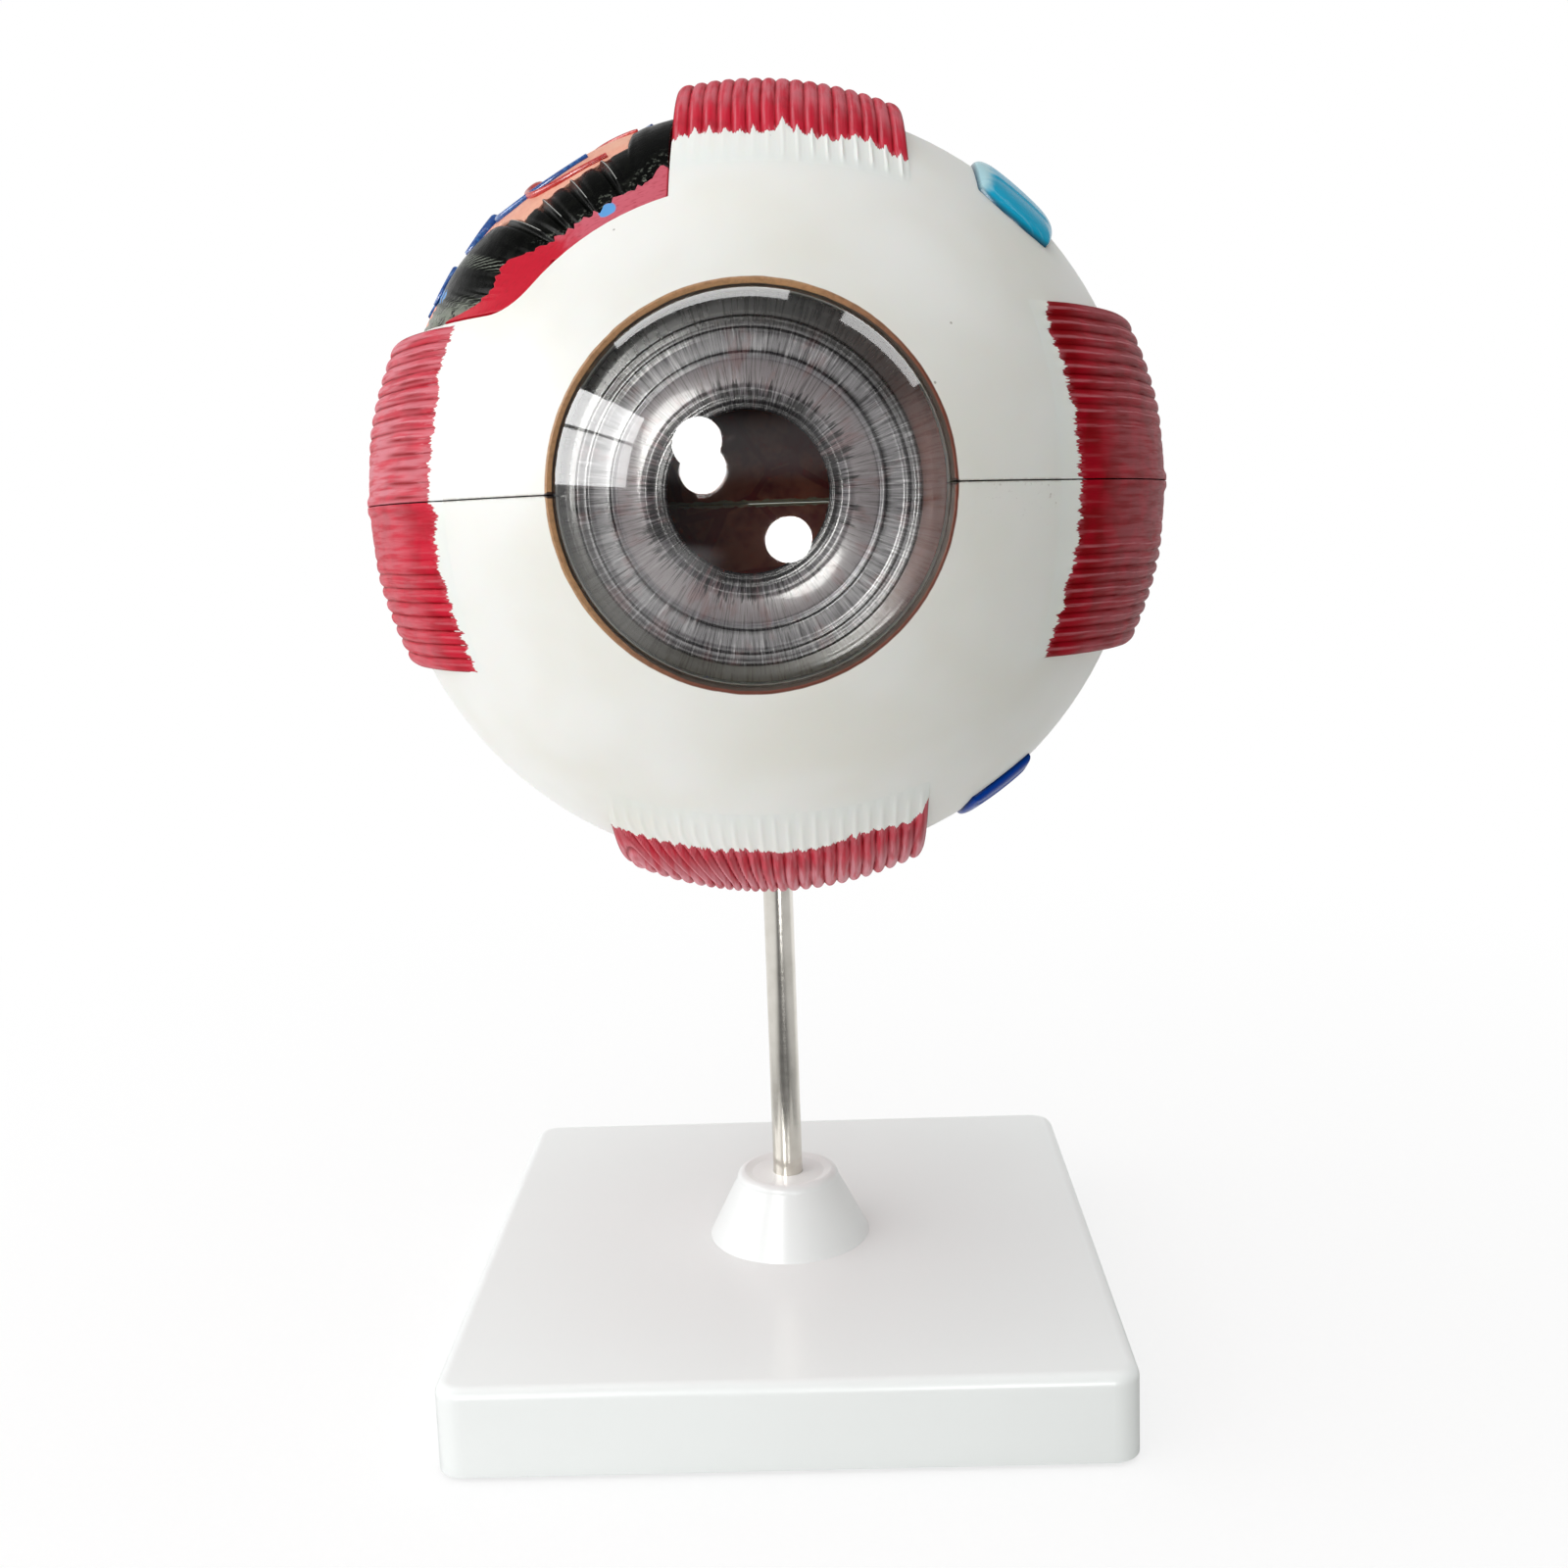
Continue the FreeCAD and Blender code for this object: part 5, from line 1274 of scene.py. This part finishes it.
class EYE_OT_iris(bpy.types.Operator):
    """Build the stepped and streaked iris disc"""

    bl_idname = "eye_model.iris"
    bl_label = "Iris"

    def execute(self, context):
        s = context.scene.eye_iris
        depth = IRIS_SEAT + IRIS_THICKNESS
        front, back = [(INSERT_RADIUS, IRIS_SEAT), (INSERT_RADIUS, depth)], []
        for radius in IRIS_STEPS:
            front.append((radius, depth))
            back.append((radius - IRIS_THICKNESS, depth - IRIS_THICKNESS))
            depth += IRIS_STEP_RISE
            # A low rounded lip stands on the edge of each step
            front += [(radius - 0.15, depth + 0.2), (radius - 0.6, depth + 0.25)]
            front.append((radius - 1.1, depth))
            back.append((radius - IRIS_THICKNESS, depth - IRIS_THICKNESS))
        top = depth + IRIS_RISE
        # The middle swells towards the pupil, then dips to its rim
        for radius in np.linspace(*IRIS_SWELL, 8):
            turns = np.array((radius, IRIS_SWELL[0])) - IRIS_SWELL_MIDDLE
            near, far = np.sqrt(IRIS_SWELL_CURVE**2 - turns**2)
            front.append((radius, depth + 0.3 + 0.86 * (near - far)))
        front += [(16.3, top - 0.05), (15.1, top - 0.65), (14.5, top - 0.6)]
        front += [(PUPIL_RADIUS + 0.9, top - 0.2), (PUPIL_RADIUS + 0.5, top - 0.4)]
        front += [(PUPIL_RADIUS + 0.3, top - 0.2), (PUPIL_RADIUS, top - 0.6)]
        back.append((PUPIL_RADIUS, top - IRIS_THICKNESS))
        points, faces = lathe(eased(front + back[::-1], 0.3), s.segments)
        # The stepped middle sits a little off the rim's centre
        middle = 1 - smooth(np.hypot(points[:, 0], points[:, 2]), 28.6, 31.0)
        points += middle[:, None] * np.array((IRIS_SHIFT[0], 0, IRIS_SHIFT[1]))
        paints = s.grey, s.dark, s.light, s.brown_shaded, s.russet_lit, s.olive_lit
        material = new_material("ABS, moulded and air-brushed", printed_iris, *paints)
        mesh = closed_mesh(placed(points), faces)
        new_piece("iris_disc", mesh, material, "iris", "iris", 30.0)
        return {"FINISHED"}


def dome_arc(curve, width, middle):
    """(radius, depth) points of a dome from its crown to its edge."""
    turns = [share * math.asin(width / curve) for share in np.linspace(0, 1, 60)]
    return [(curve * math.sin(turn), middle + curve * math.cos(turn)) for turn in turns]


class EYE_OT_cornea(bpy.types.Operator):
    """Build the clear dome with its thin wall"""

    bl_idname = "eye_model.cornea"
    bl_label = "Cornea"

    def execute(self, context):
        s = context.scene.eye_iris
        middle = CORNEA_EDGE_DEPTH - math.sqrt(CORNEA_CURVE**2 - INSERT_RADIUS**2)
        foot, bore = CORNEA_FOOT_DEPTH, INSERT_RADIUS - CORNEA_WALL
        outline = dome_arc(CORNEA_CURVE, INSERT_RADIUS, middle)
        outline += [(INSERT_RADIUS, foot + 0.2), (INSERT_RADIUS - 0.2, foot)]
        outline += [(bore + 0.2, foot), (bore, foot + 0.2)]
        outline += dome_arc(CORNEA_CURVE - CORNEA_WALL, bore, middle)[::-1]
        points, faces = lathe(np.array(outline), s.segments)
        material = new_material("Acrylic sheet, vacuum formed", formed_acrylic, s.clear)
        mesh = closed_mesh(placed(points), faces)
        new_piece("cornea_dome", mesh, material, "cornea", "cornea", 30.0)
        return {"FINISHED"}


# Soft lamps: bearing from the front towards the temple, elevation, distance in metres, width and
# height in metres (a disc where they are equal), brightness as a light and in reflections
LAMPS = {
    "window_upper": (-80.0, 27.2, 1.5, 1.5, 0.28, 0.85, 7.0),
    "window_lower": (-80.0, 12.6, 1.5, 1.5, 0.43, 0.85, 6.0),
    "lamp_high": (-23.5, 21.0, 1.6, 0.56, 0.56, 0.2, 17.0),
    "lamp_beside": (-20.5, 10.5, 1.6, 0.53, 0.53, 0.2, 17.0),
    "lamp_front": (-2.0, 4.0, 1.6, 0.3, 0.3, 11.5, 0.0),
    "lamp_left": (-45.0, 20.0, 1.6, 1.0, 1.0, 0.85, 0.0),
    "lamp_low": (13.0, -17.0, 0.35, 0.105, 0.105, 0.5, 22.0),
    "ceiling_strip": (-91.0, 74.2, 1.6, 1.6, 0.19, 2.5, 4.5),
    "temple_strip": (86.0, 47.0, 1.6, 0.86, 0.2, 0.5, 4.0),
}
# Long sides of the strips, round the eye's axis
ALONG = {"ceiling_strip": (-0.97, 0.05, -0.237), "temple_strip": (-0.70, 0, 0.713)}
CAMERA_PLACE = (0.010331, -0.344902, 0.173859)
CAMERA_TURN = (-0.020397, 0.155478, 0.034689)  # yaw, pitch down and roll, in radians


class EYE_OT_stage(bpy.types.Operator):
    """Set up the floor, lamps, world and camera"""

    bl_idname = "eye_model.stage"
    bl_label = "Stage"

    def execute(self, context):
        s = context.scene.eye_stage
        self.floor(s)
        self.world(s)
        self.lamps()
        self.camera()
        context.scene.view_settings.view_transform = "Standard"
        return {"FINISHED"}

    def floor(self, s):
        mesh = bpy.data.meshes.new("floor")
        work = bmesh.new()
        bmesh.ops.create_circle(work, cap_ends=True, segments=96, radius=4.0)
        work.to_mesh(mesh)
        work.free()
        mesh.materials.append(new_material("Paper backdrop, matt white", backdrop_paper, s.floor))
        floor = bpy.data.objects.new("floor", mesh)
        bpy.context.scene.collection.objects.link(floor)

    def world(self, s):
        world = bpy.data.worlds.new("Studio")
        bpy.context.scene.world = world
        world.use_nodes = True
        world.node_tree.nodes.clear()
        add = partial(add_node, world.node_tree)
        path = add("LightPath").node.outputs
        x, y, z = add("SeparateXYZ", add("TexCoord", out="Generated")).node.outputs
        # Plain light is white from the nose side and falls off to the temple side
        sky = add("Blend", add("Step", x, -0.95, 0.6), (0.6, 0.6, 0.61), (0.04, 0.048, 0.035))
        sky = add("Blend", add("Step", z, 0.2, 1.0, 0.0, 1.0), sky, (1.18, 1.18, 1.18))
        plain = add("Background", sky, s.ambient)
        # Mirrored, the room is dark in front and overhead and white behind and along the horizon,
        # with a dim pale wall above the horizon in front
        room = meet(add, (y, -0.75, 0.25, 0.06, 1.0), (z, 0.15, 0.6, 1.0, 0.15))
        wall = meet(add, (z, 0.02, 0.25, 0.0, 0.42), (z, 0.4, 0.6, 1.0, 0.0))
        glow = add("Background", WHITE, add("MAXIMUM", room, wall))
        seen = add("MAXIMUM", path["Is Glossy Ray"], path["Is Transmission Ray"])
        mixed = add("Layers", seen, plain, glow)
        mixed = add("Layers", path["Is Camera Ray"], mixed, add("Background", WHITE, 1.0))
        add("OutputWorld", mixed)

    def lamps(self):
        centre = Vector((0, -0.03, EYE_HEIGHT / 1000))
        for name, (bearing, elevation, distance, width, height, *levels) in LAMPS.items():
            turn, rise = math.radians(bearing), math.radians(elevation)
            level = math.cos(rise)
            way = Vector((math.sin(turn) * level, -math.cos(turn) * level, math.sin(rise)))
            side = Vector(ALONG[name]) if name in ALONG else Vector((0, 0, 1)).cross(way)
            side = (side - side.dot(way) * way).normalized()
            face = Matrix((side, way.cross(side), way)).transposed().to_4x4()
            # A lamp that lights matt surfaces, and just before it a twin that only glossy ones see
            for use, level in zip(("light", "shine"), levels):
                away = distance if use == "light" else distance - 0.01
                lamp = bpy.data.lights.new(f"{name}_{use}", "AREA")
                lamp.shape = "DISK" if width == height else "RECTANGLE"
                lamp.size, lamp.size_y = width, height
                area = width * height * (math.pi / 4 if width == height else 1)
                lamp.energy = level * area * math.pi
                piece = bpy.data.objects.new(lamp.name, lamp)
                piece.matrix_world = Matrix.Translation(centre + way * away) @ face
                piece.visible_camera = False
                piece.visible_glossy = use == "shine"
                piece.visible_transmission = use == "shine"
                piece.visible_diffuse = use == "light"
                bpy.context.scene.collection.objects.link(piece)

    def camera(self):
        camera = bpy.data.cameras.new("camera")
        camera.sensor_width = 36.0
        camera.lens = 40.24
        camera.shift_x = -0.00325
        camera.shift_y = -0.02725
        camera.clip_start = 0.01
        eye = bpy.data.objects.new("camera", camera)
        yaw, pitch, roll = CAMERA_TURN
        level = math.cos(pitch)
        ahead = Vector((math.sin(yaw) * level, math.cos(yaw) * level, -math.sin(pitch)))
        right = Vector((math.cos(yaw), -math.sin(yaw), 0))
        down = ahead.cross(right)
        image_right = math.cos(roll) * right + math.sin(roll) * down
        image_down = -math.sin(roll) * right + math.cos(roll) * down
        turn = Matrix((image_right, -image_down, -ahead)).transposed().to_4x4()
        eye.matrix_world = Matrix.Translation(CAMERA_PLACE) @ turn
        bpy.context.scene.collection.objects.link(eye)
        bpy.context.scene.camera = eye


def backdrop_paper(add, white):
    """Paper roll, matt: white where it is seen, with the object's soft shadow kept on it."""
    path = add("LightPath").node.outputs
    place = model_millimetres(add)
    x, y, _ = add("SeparateXYZ", place).node.outputs
    lit = add("Step", add("Length", place), 130.0, 420.0, 0.72, 1.0)
    seen = add("MULTIPLY", path["Is Camera Ray"], lit)
    # Mirrored in the model, the paper is bright behind it and at both sides, and dim in front
    behind = add("Step", y, -120.0, 150.0, 0.12, 1.0)
    sides = add("Step", x, -190.0, -40.0, 0.95, 0.0), add("Step", x, 40.0, 190.0, 0.0, 0.65)
    sides = add("MULTIPLY", add("Step", y, -560.0, -380.0), add("MAXIMUM", *sides))
    mirrored = add("MAXIMUM", path["Is Glossy Ray"], path["Is Transmission Ray"])
    paper = add("Blend", add("Noise", place, 1 / 1.2, 2.0), white, linear("FAFAFA"))
    # Its own bounce on to the model is held down towards the temple side
    fall = add("Step", x, -100.0, 260.0)
    bounce = add("Blend", fall, (0.98, 0.98, 0.97), (0.34, 0.34, 0.32))
    matt = add("BsdfDiffuse", add("Blend", path["Is Diffuse Ray"], paper, bounce))
    shown = add("Layers", seen, matt, add("Emission", WHITE, 1.0))
    reflected = add("Emission", WHITE, add("MAXIMUM", behind, sides))
    return add("Layers", mirrored, shown, reflected)


class EYE_PT_model(bpy.types.Panel):
    """Lists the pieces of the eye model."""

    bl_idname = "EYE_PT_model"
    bl_label = "Eye model"
    bl_space_type = "VIEW_3D"
    bl_region_type = "UI"
    bl_category = "Eye model"

    def draw(self, context):
        for operator in OPERATORS:
            self.layout.operator(operator.bl_idname)
        for name, group in SETTINGS.items():
            box = self.layout.box()
            for setting in group.__annotations__:
                box.prop(getattr(context.scene, name), setting)


SETTINGS = {
    "eye_stand": StandSettings,
    "eye_shells": ShellSettings,
    "eye_muscles": MuscleSettings,
    "eye_pads": PadSettings,
    "eye_window": WindowSettings,
    "eye_inner": InnerSettings,
    "eye_iris": IrisSettings,
    "eye_stage": StageSettings,
}
OPERATORS = (
    EYE_OT_stand,
    EYE_OT_shells,
    EYE_OT_muscles,
    EYE_OT_pads,
    EYE_OT_window,
    EYE_OT_inner,
    EYE_OT_iris,
    EYE_OT_cornea,
    EYE_OT_stage,
)


def register():
    for name, group in SETTINGS.items():
        bpy.utils.register_class(group)
        setattr(bpy.types.Scene, name, PointerProperty(type=group))
    for operator in OPERATORS:
        bpy.utils.register_class(operator)
    bpy.utils.register_class(EYE_PT_model)


def unregister():
    bpy.utils.unregister_class(EYE_PT_model)
    for operator in OPERATORS:
        bpy.utils.unregister_class(operator)
    for name, group in SETTINGS.items():
        delattr(bpy.types.Scene, name)
        bpy.utils.unregister_class(group)


def main():
    register()
    for operator in OPERATORS:
        group, name = operator.bl_idname.split(".")
        getattr(getattr(bpy.ops, group), name)()


if __name__ == "__main__":
    main()
